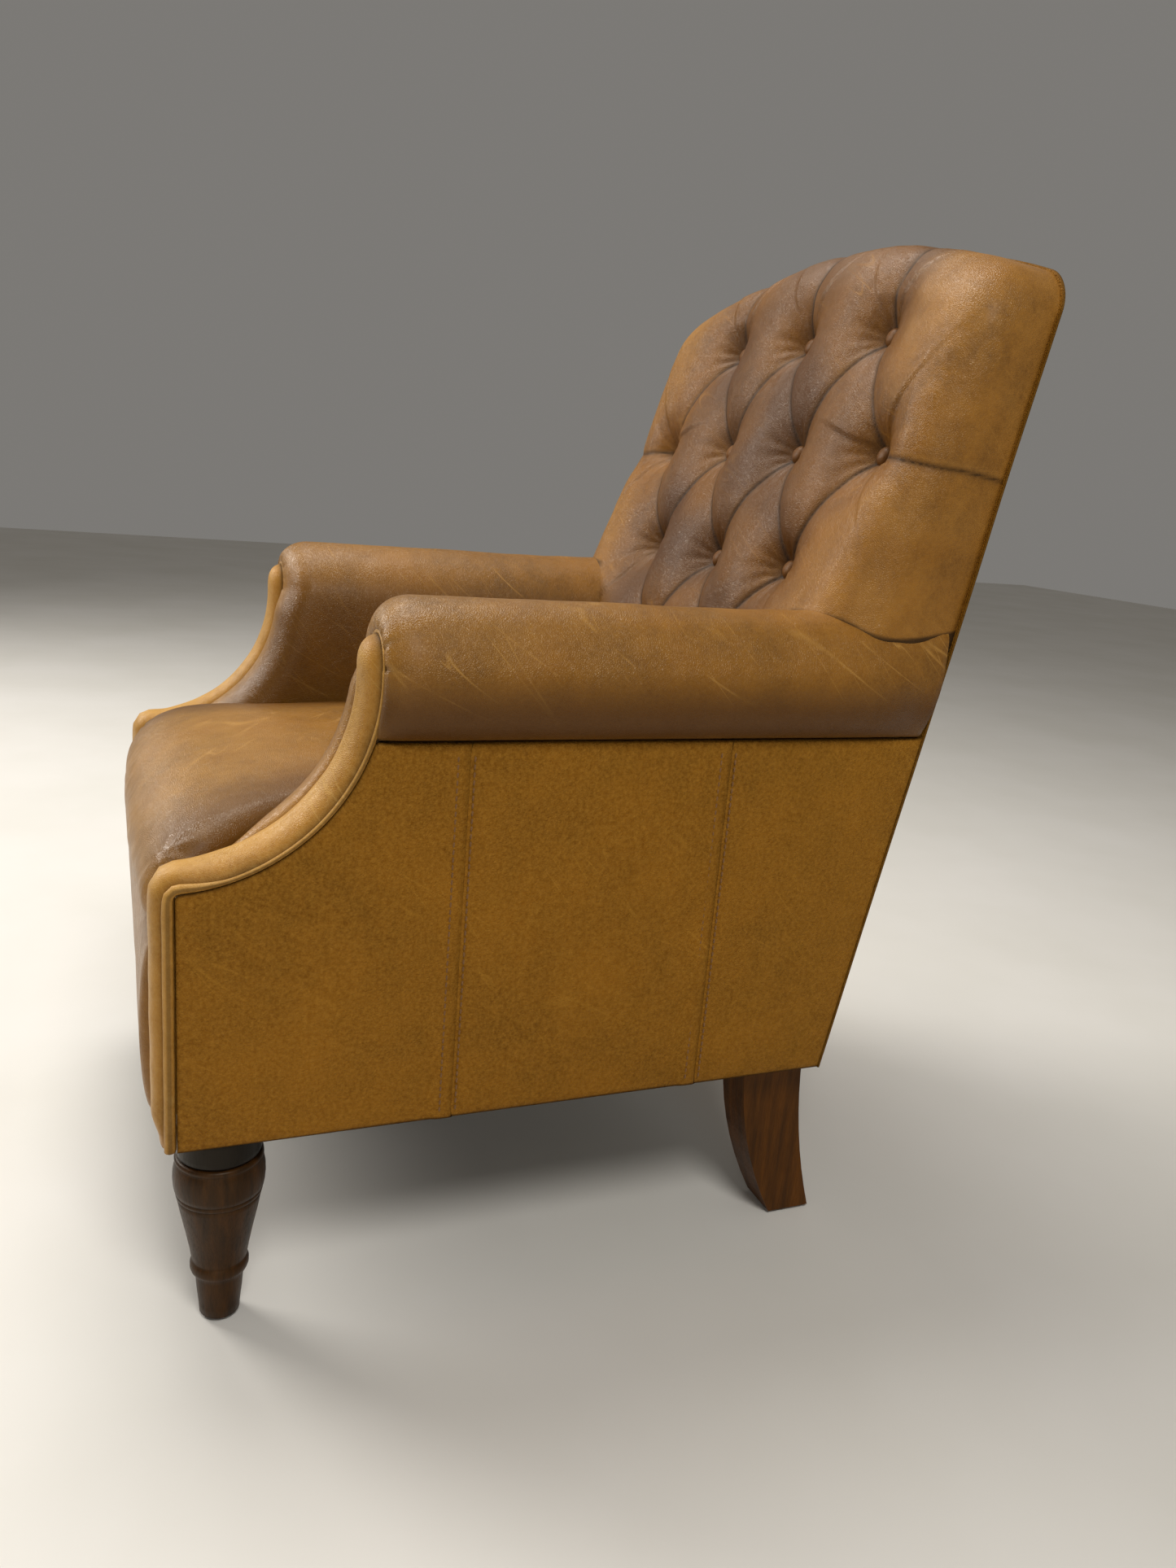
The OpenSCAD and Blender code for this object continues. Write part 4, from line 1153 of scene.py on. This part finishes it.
@dataclass
class OutsideArm:
    """The three lapped hides on the outside of an arm, with twin rows of stitches at each lap."""

    plan: Plan
    path: SweepPath
    side: Side
    seams: tuple[float, float] = (0.224, 0.462)
    lap: float = 0.0016
    edge_r: float = 0.0035
    swell: float = 0.0035
    pitch: float = 0.0065
    row_gap: float = 0.007
    stitch: tuple[float, float, float] = (0.0009, 0.0009, 0.0026)

    def top_line(self) -> Array:
        """The upper edge of the panels in y and z, from the foot of the front to the rear."""
        plan, path = self.plan, self.path
        rising = path.points[path.points[:, 1] < plan.seam_h]
        end = np.array([[plan.rear(plan.seam_h), plan.seam_h]])
        return np.vstack([rising, [[rising[-1, 0] + 0.002, plan.seam_h]], end])

    def panel(self, name: str, start: Array, end: Array, lapped: bool) -> bpy.types.Object:
        """Builds one hide between two leaning edges.

        Args:
            name: the node that the panel stands for, without its side.
            start: y at the foot and the top of its front edge.
            end: y at the foot and the top of its rear edge.
            lapped: whether its rear edge lies over the next hide.

        Returns:
            The panel.
        """
        plan = self.plan
        foot, top = plan.floor_gap, plan.seam_h
        top_line = self.top_line()
        is_front = name == "outside_arm_front"
        columns = max(40, int((end[0] - start[0]) / 0.003))
        share = np.linspace(0, 1, columns)
        if is_front:
            share = np.concatenate([np.linspace(0, 0.08, 14, endpoint=False), np.linspace(0.08, 1, columns)])
        y_top = start[1] + (end[1] - start[1]) * share
        y_foot = start[0] + (end[0] - start[0]) * share
        roof = np.full(len(share), top)
        if is_front:
            roof = np.interp(y_top, top_line[:, 0] + np.arange(len(top_line)) * 1e-7, top_line[:, 1])
        rows = np.linspace(0, 1, 112)
        z = foot + (roof - foot)[None] * rows[:, None]
        y = y_foot[None] + (y_top - y_foot)[None] * ((z - foot) / (top - foot))
        front_edge = top_line[:-1] if is_front else np.array([[start[0], foot], [start[1], top]])
        outline = [
            np.array([[start[0], foot], [end[0], foot]]),
            np.array([[start[1], top], [end[1], top]]),
            np.array([[end[0], foot], [end[1], top]]),
            front_edge,
        ]
        to_edges = [rim_distance(np.stack([y, z], -1), line) for line in outline]
        edge = np.min(to_edges, axis=0)
        rolled = np.exp(-edge / self.edge_r)
        place = np.stack([np.full_like(y, plan.half), y, z], -1)
        puff = self.swell * (1 - np.exp(-edge / 0.05))
        wave = 0.0016 * ripple(place, 0.16, 11.0) + 0.0005 * ripple(place, 0.04, 13.0)
        x = plan.half + 0.0006 + puff + wave * (1 - rolled) - 0.0016 * rolled
        to_rear, to_front = to_edges[2:]
        # Painted shade along every edge of the panel and in the lap beside its rear edge.
        crease = 0.9 * np.exp(-edge / 0.0011)
        if lapped:
            x += self.lap * smooth_step(to_rear, 0.022, 0.012)
            x -= 0.0012 * np.exp(-to_rear / 0.0008)
            crease = np.maximum(crease, 0.5 * np.exp(-np.abs(to_rear - 0.004) / 0.001))
        else:
            x = np.where(to_front < 0.012, x - 0.0008, x)
        wear_and_highlight = 0.05 + 0.12 * smooth_step(y, 0.0, 0.25)
        points = np.stack([x * self.side.value, y, z], -1)
        bm = grid_mesh(points, {"crease": crease, "wear_and_highlight": wear_and_highlight})
        outward = Vector((self.side.value, 0, 0))
        return skin_sheet(bm, f"{name}_{self.side.tag}_hide", lambda p: outward, 0.002)

    def stitches(self, seam_y: float) -> bpy.types.Object:
        """Builds the twin rows of stitches beside one lapped seam."""
        foot, top = self.plan.floor_gap + 0.008, self.plan.seam_h - 0.008
        count = int((top - foot) / self.pitch)
        x = self.side.value * (self.plan.half + self.swell * 0.35 + 0.0016)
        shape = Matrix.Diagonal((*self.stitch, 1))
        bm = bmesh.new()
        for row in (-1, 1):
            y = seam_y + row * self.row_gap - 0.003
            for i in range(count):
                made = bmesh.ops.create_icosphere(bm, subdivisions=1, radius=1)
                spot = Matrix.Translation((x, y, foot + (i + 0.5) * self.pitch))
                bmesh.ops.transform(bm, matrix=spot @ shape, verts=made["verts"])
        return finish_mesh(bm, f"stitches_{self.side.tag}_{round(seam_y * 1000 + 500)}")

    def build(self, finishes: Finishes) -> None:
        """Builds and dresses the three hides and their stitches."""
        plan = self.plan
        first, second = (plan.front + s for s in self.seams)
        front = np.array([plan.front + 0.0005, plan.front + 0.0005])
        one = np.array([first + 0.003, first + 0.003])
        two = np.array([second + 0.003, second + 0.003])
        rear = np.array([plan.rear(plan.floor_gap) - 0.001, plan.rear(plan.seam_h) - 0.001])
        under = np.array([0.012, 0.012])
        for name, start, end, lapped in (
            ("outside_arm_front", front, one, True),
            ("outside_arm_middle", one - under, two, True),
            ("outside_arm_rear", two - under, rear, False),
        ):
            piece = self.panel(name, start, end, lapped)
            add_piece(piece, [f"{name}_{self.side.tag}"], finishes.panel)
        for seam in (first, second):
            add_piece(self.stitches(seam), [], finishes.thread)


# ------------------------------------------------------------------- the back


@dataclass
class TuftedBack:
    """The deep-buttoned back: one hide over foam, drawn in at twelve buttons with folds between."""

    plan: Plan
    rise: float = 0.052
    corner_r: float = 0.030
    thick_top: float = 0.086
    thick_seat: float = 0.170
    edge_r: float = 0.045
    puff: float = 0.002
    sunk: float = 0.010
    gap: float = 0.147
    rows: tuple[tuple[float, int], ...] = ((0.544, 2), (0.660, 3), (0.776, 4), (0.892, 3))
    fold_depth: float = 0.026
    fold_r: float = 0.021
    bowl_depth: float = 0.015
    low: float = 0.440
    slide: float = 0.013
    side_wall: float = 0.055
    top_wall: float = 0.045

    @property
    def face(self) -> float:
        """Half of the back's full width."""
        return self.plan.half - 0.003

    @property
    def top_r(self) -> float:
        """The radius of its rounded top edge."""
        return self.edge_r + 0.002

    def thickness(self, z: Array) -> Array:
        """The padding's depth in front of the rear plane at a height."""
        seat, corner = 0.456, self.plan.crown - self.rise
        t = (z - seat) / (corner - seat)
        return self.thick_seat + (self.thick_top - self.thick_seat) * np.clip(t, -0.2, 1.1)

    def roof(self, x: Array) -> Array:
        """The height of the back's rear top edge: a low arch with rounded corners."""
        half, rise = self.face, self.rise
        radius = (half * half + rise * rise) / (2 * rise)
        x = np.abs(x)
        arch = self.plan.crown - self.sunk - radius + np.sqrt(radius**2 - np.minimum(x, half) ** 2)
        near = np.clip((x - (half - self.corner_r)) / self.corner_r, 0, 1)
        return arch - self.corner_r * (1 - np.sqrt(1 - near**2))

    def half_width(self, z: Array) -> Array:
        """Half of the back's width: narrow between the arms, full above them."""
        inner = self.plan.inner - 0.003
        heights = [0.40, 0.53, 0.555, 0.575, 0.590, 0.604]
        widths = [inner, inner, inner + 0.006, inner + 0.022, inner + 0.060, self.face]
        return np.interp(z, heights, widths)

    def button_rows(self) -> list[list[tuple[float, float]]]:
        """Each row's buttons on the crest of the hide, which slide down the slope as they are drawn in."""
        return [[((i - (count - 1) / 2) * self.gap, z + self.slide) for i in range(count)] for z, count in self.rows]

    def places(self) -> list[tuple[float, float]]:
        """Each button's x and z, the lowest row first."""
        return [place for row in self.button_rows() for place in row]

    def build(self, finishes: Finishes) -> None:
        """Builds the back and its buttons."""
        plan = self.plan
        share, drop, across = pillow_profile(281, self.face, self.edge_r, self.side_wall)
        drop = self.eased(drop, 25)
        depth_x = (1 - drop / drop.max())[None]
        up_share, up_drop, up_run = pillow_profile(2 * 240 - 1, 0.545, self.top_r, self.top_wall)
        keep = slice(len(up_run) // 2, None)
        rise_share, rise_drop, along = up_share[keep], up_drop[keep], up_run[keep]
        depth_z = (1 - rise_drop / rise_drop.max())[:, None]
        roof = self.roof(self.face * share)
        z = self.low + (roof[None] - self.low) * rise_share[:, None]
        half = self.half_width(z)
        x = share[None] * half
        crown = 1 + 0.05 * np.cos(np.clip(share, -1, 1) * math.pi / 2)[None] ** 0.7
        front = self.thickness(z) * depth_x * depth_z * np.where(depth_x > 0.99, crown * 0.98, 1.0)
        lift = self.puff * np.sin(np.clip((1 - depth_z) * math.pi, 0, math.pi)) * depth_x**1.5
        swelled = np.sin(np.clip((1 - depth_x) * math.pi, 0, math.pi)) * np.sign(share)[None]
        bulge = 0.006 * swelled * depth_z**1.5
        y = plan.rear(z) - front - 0.001
        points = np.stack([x + bulge * (half > 0.28), y, z + lift], -1)
        flat = self.flattened(across, along, x, z)
        folds, marks = self.folds(flat)
        folds *= 1 - 0.72 * smooth_step(1 - depth_z, 0.02, 0.6)
        # Painted shade where each wing comes down on an arm's roll.
        marks["crease"] = np.maximum(marks["crease"], 0.95 * self.arm_junction_shade(np.abs(points[..., 0]), np.abs(x), y, z))
        normal = grid_normals(points)
        if normal[120, 135, 1] > 0:
            normal = -normal
        normal = self.softened(normal, 6)
        cloud = 0.003 * ripple(points, 0.10, 21.0) + 0.0007 * ripple(points, 0.024, 23.0)
        free = smooth_step(np.minimum(depth_x, depth_z), 0.0, 0.25)
        points = points - normal * (folds * free - cloud * free)[..., None]
        bm = grid_mesh(points, marks)
        piece = skin_sheet(bm, "back_cushion", lambda p: Vector((p.x * 0.2, -1, 0.3)), plan.hide)
        add_piece(piece, ["back_cover", "back_foam"], finishes.tufted)
        self.buttons(points, flat, normal, finishes)

    def arm_junction_shade(self, out: Array, x: Array, y: Array, z: Array) -> Array:
        """The painted shade in the fold where each wing comes down on an arm's roll.

        Args:
            out: how far out the bulged hide is.
            x: how far out it is without its bulge.
            y: its y.
            z: its height.

        Returns:
            1 in the fold and under it, falling to 0 just above the roll.
        """
        plan = self.plan
        heel = smooth_step(plan.rear(z) - y, 0.12, 0.0) * smooth_step(x, plan.inner + 0.07, plan.half)
        roll_top = 0.6293 - 305 * np.maximum(out - plan.half + 0.035, 0) ** 3 + 0.002 * heel
        over_arm = smooth_step(x, plan.inner + 0.03, plan.inner + 0.06)
        return smooth_step(z, roll_top + 0.0050, roll_top + 0.0015) * over_arm

    def eased(self, values: Array, width: int) -> Array:
        """A row of values, averaged along its run so that its bends ease in and out."""
        pad = width // 2
        before, after = 2 * values[0] - values[pad:0:-1], 2 * values[-1] - values[-2 : -pad - 2 : -1]
        wide = np.concatenate([before, values, after])
        kernel = np.hanning(width + 2)[1:-1]
        return np.convolve(wide, kernel / kernel.sum(), "valid")

    def softened(self, field_values: Array, passes: int) -> Array:
        """A grid of vectors, averaged with its neighbours a few times and made unit length."""
        out = field_values.copy()
        for _ in range(passes):
            wide = np.pad(out, ((1, 1), (1, 1), (0, 0)), mode="edge")
            beside = wide[:-2, 1:-1] + wide[2:, 1:-1] + wide[1:-1, :-2] + wide[1:-1, 2:]
            out = (beside + 2 * wide[1:-1, 1:-1]) / 6
        return out / np.linalg.norm(out, axis=-1, keepdims=True)

    def flattened(self, across: Array, along: Array, x: Array, z: Array) -> Array:
        """Each grid point's place on the hide laid flat: real x and z on the face, run-on lengths past its edges."""
        edge = self.face - self.edge_r
        side = np.sign(across) * np.maximum(np.abs(across) - edge, 0)
        flat_x = x * np.where(np.abs(across) > edge, edge / np.maximum(np.abs(across), 1e-6), 1)[None]
        last = np.argmax(along - along[0] > along[-1] - along[0] - self.top_wall - self.top_r * math.pi / 2)
        ran = np.maximum(along - along[last], 0)
        return np.stack([flat_x + side[None], np.minimum(z, z[last][None]) + ran[:, None]], -1)

    def fold_lines(self, edge_x: float, edge_z: float) -> list[tuple[Array, Array, float]]:
        """The folds' ends on the flattened hide, each with its share of the full depth at its far end."""
        rows = self.button_rows()
        lines = []
        for lower, upper in zip(rows[:-1], rows[1:]):
            for a in lower:
                lines += [(a, b, 1.0) for b in upper if abs(abs(a[0] - b[0]) - self.gap / 2) < 1e-6]
        lines += [(a, (a[0] * 1.03, edge_z), 0.45) for a in rows[-1]]
        for sign in (-1, 1):
            outer = (sign * 1.5 * self.gap, rows[2][0][1])
            lines.append((outer, (sign * edge_x, outer[1] - 0.028), 0.16))
        lines += [(a, (a[0], self.low), 0.8) for a in rows[0]]
        return [(np.array(start), np.array(end), depth) for start, end, depth in lines]

    def folds(self, flat: Array) -> tuple[Array, dict[str, Array]]:
        """How far the hide is drawn in at each point, and its marks.

        Each fold opens downwards: the pad above it overhangs in a narrow lip, and the pad below comes up to it
        gently. A fold is deepest at its buttons and shallow half way, so the pads bulge across it.
        """
        lines = self.fold_lines(float(flat[..., 0].max()), float(flat[-1, flat.shape[1] // 2, 1]))
        level_ground = np.dstack([flat, flat[..., :1] * 0])
        shake = np.stack([ripple(level_ground, 0.05, seed) for seed in (31.0, 37.0)], -1)
        loose = flat + 0.0018 * shake
        level = np.ones(flat.shape[:2])
        crease = np.zeros(flat.shape[:2])
        lip = np.zeros(flat.shape[:2])
        for start, end, depth in lines:
            way = end - start
            across = np.array([-way[1], way[0]]) / np.linalg.norm(way)
            across *= 1 if across[1] >= 0 else -1
            d = segment_distance(loose.reshape(-1, 2), start, end).reshape(level.shape)
            run = np.clip((flat - start) @ way / (way @ way), 0, 1)
            above = abs(across[1]) * smooth_step((loose - start) @ across, -0.0015, 0.0015)
            local = (1 - run) ** 2.1 + depth * run**2.1
            level *= 1 - local * np.exp(-((d / (self.fold_r * (1.3 - 0.9 * above))) ** 0.9))
            crease = np.maximum(crease, np.exp(-d / 0.0017))
            # Painted highlight along the overhanging edge of the fold.
            lip = np.maximum(lip, above * np.exp(-(((d - 0.0045) / 0.002) ** 2)))
        pits = np.zeros(flat.shape[:2])
        radial = np.zeros(flat.shape[:2])
        for i, place in enumerate(self.places()):
            offset = flat - np.array(place)
            d = np.linalg.norm(offset, axis=-1)
            pits += np.exp(-((d / 0.017) ** 1.6))
            bearing = np.arctan2(offset[..., 1], offset[..., 0])
            spokes = np.cos(bearing * 13 + i * 1.7 + 2.2 * shake[..., 0])
            radial += spokes * np.exp(-d / 0.019) * np.clip((d - 0.009) / 0.008, 0, 1)
        drawn = self.fold_depth * (1 - level) + self.bowl_depth * pits + 0.0022 * radial
        crest = smooth_step(level, 0.55, 0.95)
        outer = smooth_step(np.abs(flat[..., 0]), 0.13, 0.24)
        upper = smooth_step(flat[..., 1], 0.84, 0.95)
        patch = smooth_step(ripple(level_ground, 0.08, 41.0), -0.5, 0.5)
        # Pale wear on the pad crests, with a painted highlight along the overhanging edge of each fold.
        wear_and_highlight = 0.05 + crest * (0.22 * patch + 0.34 * outer) + 0.3 * lip
        dark = (1 - np.maximum(outer, 0.25 * upper)) * (0.35 + 0.5 * patch)
        # Painted shade in the fold lines, the button pits and the radial wrinkles.
        shade = np.clip(crease + 0.30 * pits + 0.14 * np.clip(radial, 0, 1), 0, 1)
        return drawn - 0.002 * crest, {"crease": shade, "wear_and_highlight": np.clip(wear_and_highlight, 0, 1), "shade": np.clip(dark, 0, 1)}

    def buttons(self, points: Array, flat: Array, normal: Array, finishes: Finishes) -> None:
        """Sets a hide-covered button in each pit.

        Args:
            points: the back's grid.
            flat: its flattened places.
            normal: its outward normals.
            finishes: the materials.
        """
        bm = bmesh.new()
        layer = bm.verts.layers.float.new("wear_and_highlight")
        profile = spline([
            (0.0, -0.0030), (0.0075, -0.0022), (0.0099, 0.0), (0.0092, 0.0030), (0.0062, 0.0056), (0.003, 0.0066),
            (0.0, 0.0069),
        ], 17)
        for x, z in self.places():
            row, column = np.unravel_index(np.argmin(np.sum((flat - [x, z]) ** 2, -1)), flat.shape[:2])
            spin_profile(bm, profile, 28)
            verts = [v for v in bm.verts if v[layer] == 0.0]
            for vert in verts:
                vert[layer] = 0.25
            out = Vector(normal[row, column])
            turned = out.to_track_quat("Z", "Y").to_matrix().to_4x4()
            seat = Matrix.Translation(Vector(points[row, column]) + out * 0.0035) @ turned
            bmesh.ops.transform(bm, matrix=seat, verts=verts)
        piece = finish_mesh(bm, "tuft_buttons", weld=2e-5)
        add_piece(piece, ["back_buttons"], finishes.button)


@dataclass
class OutsideBack:
    """The plain hide that closes the chair behind, pulled tight and tacked round its edge."""

    plan: Plan
    back: TuftedBack
    edge_r: float = 0.004

    def build(self, finishes: Finishes) -> None:
        """Builds and dresses the outside back."""
        plan = self.plan
        half = plan.half + 0.0012
        share = np.sin(np.linspace(-math.pi / 2, math.pi / 2, 151))
        x = half * share
        roof = self.back.roof(x * self.back.face / half) + 0.001
        rows = np.concatenate([np.linspace(0, 0.97, 150, endpoint=False), np.linspace(0.97, 1, 16)])
        z = plan.floor_gap + (roof - plan.floor_gap)[None] * rows[:, None]
        xx = np.repeat(x[None], len(rows), 0)
        feet = [[-half, plan.floor_gap], [half, plan.floor_gap]]
        rim = np.vstack([feet[:1], np.stack([x, roof], 1), feet[::-1]])
        edge = rim_distance(np.stack([xx, z], -1), rim)
        place = np.stack([xx, plan.rear(z), z], -1)
        out = -0.0008 + 0.0029 * (1 - np.exp(-edge / 0.06)) + 0.0012 * ripple(place, 0.17, 51.0)
        out -= 0.0008 * np.exp(-edge / self.edge_r)
        points = np.stack([xx, plan.rear(z) + out, z], -1)
        # Painted shade along the hide's edge.
        crease = 0.6 * np.exp(-edge / 0.0012)
        wear_and_highlight = 0.06 + 0.3 * np.exp(-edge / 0.014)
        bm = grid_mesh(points, {"crease": crease, "wear_and_highlight": wear_and_highlight})
        piece = skin_sheet(bm, "outside_back_hide", lambda p: Vector((0, 1, 0)), 0.002)
        add_piece(piece, ["outside_back"], finishes.panel)


# --------------------------------------------------------- underside and legs


@dataclass
class DustCover:
    """Black cambric stretched under the frame and stapled to its rails."""

    plan: Plan
    thickness: float = 0.0012

    def build(self, finishes: Finishes) -> None:
        """Builds the sheet with a slight sag between the rails."""
        low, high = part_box("dust_cover")
        x = np.linspace(low.x, high.x, 90)
        y = np.linspace(low.y, high.y, 90)
        xx, yy = np.meshgrid(x, y)
        u, v = (xx - low.x) / (high.x - low.x), (yy - low.y) / (high.y - low.y)
        rim = np.minimum(np.minimum(u, 1 - u) * (high.x - low.x), np.minimum(v, 1 - v) * (high.y - low.y))
        sag = 0.004 * smooth_step(rim, 0.02, 0.2)
        pull = 0.0007 * np.sin(xx * 90) * np.exp(-rim / 0.03)
        z = low.z + 0.0014 - sag * 0.25 + pull
        bm = grid_mesh(np.stack([xx, yy, z], -1), {"crease": np.exp(-rim / 0.002)})
        piece = skin_sheet(bm, "dust_cloth", lambda p: Vector((0, 0, -1)), self.thickness)
        add_piece(piece, ["dust_cover"], finishes.cambric)


@dataclass
class FrontLeg:
    """A turned front leg: a black collar, a round belly with two scribed lines, a taper and a ringed foot."""

    plan: Plan
    side: Side

    def build(self, finishes: Finishes) -> None:
        """Spins the leg's profile and its collar."""
        low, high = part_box(f"front_leg_{self.side.tag}")
        cx, cy = (low.x + high.x) / 2, (low.y + high.y) / 2
        glide = low.z
        collar = [
            (0.0, 0.1855), (0.0335, 0.1855), (0.0348, 0.184), (0.0348, 0.163), (0.0338, 0.161), (0.030, 0.1603),
            (0.0, 0.1603),
        ]
        leg = [
            (0.0, 0.1602), (0.0345, 0.1602), (0.0364, 0.1590), (0.0366, 0.1565), (0.0352, 0.1550), (0.0362, 0.1535),
            (0.0378, 0.146), (0.0381, 0.139), (0.0374, 0.131), (0.0366, 0.127), (0.0354, 0.1262), (0.0362, 0.1254),
            (0.0356, 0.1222), (0.0344, 0.1214), (0.0350, 0.1205), (0.0325, 0.107), (0.0285, 0.088), (0.0250, 0.070),
            (0.0232, 0.0585), (0.0226, 0.0570), (0.0236, 0.0560), (0.0246, 0.0530), (0.0246, 0.0495), (0.0236, 0.0465),
            (0.0218, 0.0452), (0.0204, 0.0440), (0.0192, 0.028), (0.0175, 0.012), (0.0169, glide + 0.0012),
            (0.0158, glide), (0.0, glide),
        ]
        turned = self.spun(leg, f"turned_leg_{self.side.tag}", cx, cy)
        add_piece(turned, [f"front_leg_{self.side.tag}"], finishes.front_leg)
        ring = self.spun(collar, f"leg_collar_{self.side.tag}", cx, cy)
        add_piece(ring, [], finishes.ebony)

    def spun(self, profile: Sequence[tuple[float, float]], name: str, cx: float, cy: float) -> bpy.types.Object:
        """A turned solid about a plumb line.

        Args:
            profile: radius and height pairs, from the top of the axis to its foot.
            name: the object's name.
            cx: the line's x.
            cy: the line's y.

        Returns:
            The solid.
        """
        bm = bmesh.new()
        dense = []
        for (r0, z0), (r1, z1) in zip(profile[:-1], profile[1:]):
            steps = max(1, int(math.hypot(r1 - r0, z1 - z0) / 0.004))
            dense += [(r0 + (r1 - r0) * i / steps, z0 + (z1 - z0) * i / steps) for i in range(steps)]
        dense.append(profile[-1])
        spin_profile(bm, dense, 64)
        bmesh.ops.translate(bm, vec=(cx, cy, 0), verts=bm.verts)
        return finish_mesh(bm, name, weld=2e-5)


def dress_node(node: str, material: bpy.types.Material) -> None:
    """Dresses a CAD node that keeps its own mesh."""
    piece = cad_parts[node]
    if not piece.material_slots:
        piece.data.materials.append(material)
    for slot in piece.material_slots:
        slot.material = material


def dress_frame(finishes: Finishes) -> None:
    """Dresses the timber, springs and cloths that the hides cover, the glides and the rear legs."""
    groups = {
        finishes.frame: [
            "front_rail", "rear_rail", "corner_blocks", "arm_blocks", "arm_board", "back_post", "back_top_rail",
            "back_lower_rail",
        ],
        finishes.ply: ["outer_side_panel", "inner_side_panel"],
        finishes.steel: ["seat_springs", "spring_clips", "leg_bolts", "rear_leg_screws"],
        finishes.felt: ["seat_platform"],
        finishes.jute: ["back_webbing", "back_canvas", "button_ties"],
        finishes.nylon: ["glides"],
        finishes.rear_leg: ["rear_leg"],
    }
    for material, stems in groups.items():
        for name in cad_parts:
            if any(name == stem or name in (f"{stem}_left", f"{stem}_right") for stem in stems):
                dress_node(name, material)


# ----------------------------------------------------------- floor and lights


@dataclass
class Studio:
    """A pale floor, soft lights and the camera."""

    spot: tuple[float, float, float] = (1.163, -0.4076, 0.732)
    yaw: float = 66.81
    pitch: float = 14.79
    roll: float = 4.88
    lens: float = 26.36
    film: float = 36

    def floor(self) -> None:
        """Lays a pale plastered floor."""
        bm = bmesh.new()
        bmesh.ops.create_grid(bm, x_segments=2, y_segments=2, size=9)
        mesh = bpy.data.meshes.new("floor")
        bm.to_mesh(mesh)
        bm.free()
        piece = bpy.data.objects.new("floor", mesh)
        bpy.context.scene.collection.objects.link(piece)
        f = Finish("pale_plaster")
        cloud = f.ramp(f.noise(500, 4), 0.3, 0.7)
        colour = f.mix(cloud, linear("d6d2c9"), linear("dedad3"))
        piece.data.materials.append(f.finish(colour, 0.75, f.bump(f.noise(4, 3), 0.2, 0.3)))

    def lights(self) -> None:
        """Hangs the area lights, each with its place, target, size, power and colour, and a soft sky."""
        for name, place, target, size, power, colour in (
            ("overhead", (-0.9, -0.3, 2.9), (0, 0, 0.5), 1.6, 56, (1.0, 0.985, 0.96)),
            ("front", (-2.3, -2.4, 2.2), (0, 0, 0.6), 1.6, 84, (1.0, 0.98, 0.95)),
            ("window", (1.9, -0.2, 2.5), (0.2, 0.1, 0.6), 0.9, 37, (1.0, 0.99, 0.97)),
            ("fill", (3.0, -1.2, 0.9), (0, 0, 0.4), 2.2, 10, (1.0, 0.99, 0.97)),
        ):
            lamp = bpy.data.lights.new(name, "AREA")
            lamp.shape = "DISK"
            lamp.size, lamp.energy, lamp.color = size, power, colour
            holder = bpy.data.objects.new(name, lamp)
            holder.location = place
            holder.rotation_euler = (Vector(target) - Vector(place)).to_track_quat("-Z", "Y").to_euler()
            bpy.context.scene.collection.objects.link(holder)
        world = bpy.data.worlds.new("soft_sky")
        world.use_nodes = True
        sky = world.node_tree.nodes["Background"]
        sky.inputs["Color"].default_value = (1.0, 0.96, 0.90, 1)
        sky.inputs["Strength"].default_value = 0.20
        bpy.context.scene.world = world
        bpy.context.scene.view_settings.view_transform = "Standard"

    def camera(self) -> None:
        """Places the camera at a standing viewer's side view, a little above the arm."""
        a, p, r = (math.radians(v) for v in (self.yaw, self.pitch, self.roll))
        ahead = Vector((-math.sin(a) * math.cos(p), math.cos(a) * math.cos(p), -math.sin(p)))
        level = Vector((math.cos(a), math.sin(a), 0))
        up = level.cross(ahead)
        right = math.cos(r) * level + math.sin(r) * up
        top = -math.sin(r) * level + math.cos(r) * up
        data = bpy.data.cameras.new("camera")
        data.sensor_fit, data.lens = "VERTICAL", self.lens
        data.sensor_width = data.sensor_height = self.film
        data.clip_start = 0.05
        holder = bpy.data.objects.new("camera", data)
        turn = Matrix((right, top, -ahead)).transposed().to_4x4()
        holder.matrix_world = Matrix.Translation(self.spot) @ turn
        bpy.context.scene.collection.objects.link(holder)
        bpy.context.scene.camera = holder


def main() -> None:
    """Builds the chair piece by piece."""
    logging.basicConfig(level=logging.INFO, format="%(name)s: %(message)s")
    studio = Studio()
    studio.camera()
    studio.lights()
    studio.floor()
    finishes = Finishes()
    plan = Plan()
    path = SweepPath(plan)
    for side in Side:
        Facing(plan, path, side).build(finishes)
        Arm(plan, path, side).build(finishes)
        OutsideArm(plan, path, side).build(finishes)
        FrontLeg(plan, side).build(finishes)
    Seat(plan).build(finishes)
    Border(plan).build(finishes)
    back = TuftedBack(plan)
    back.build(finishes)
    OutsideBack(plan, back).build(finishes)
    DustCover(plan).build(finishes)
    dress_frame(finishes)


if __name__ == "__main__":
    main()
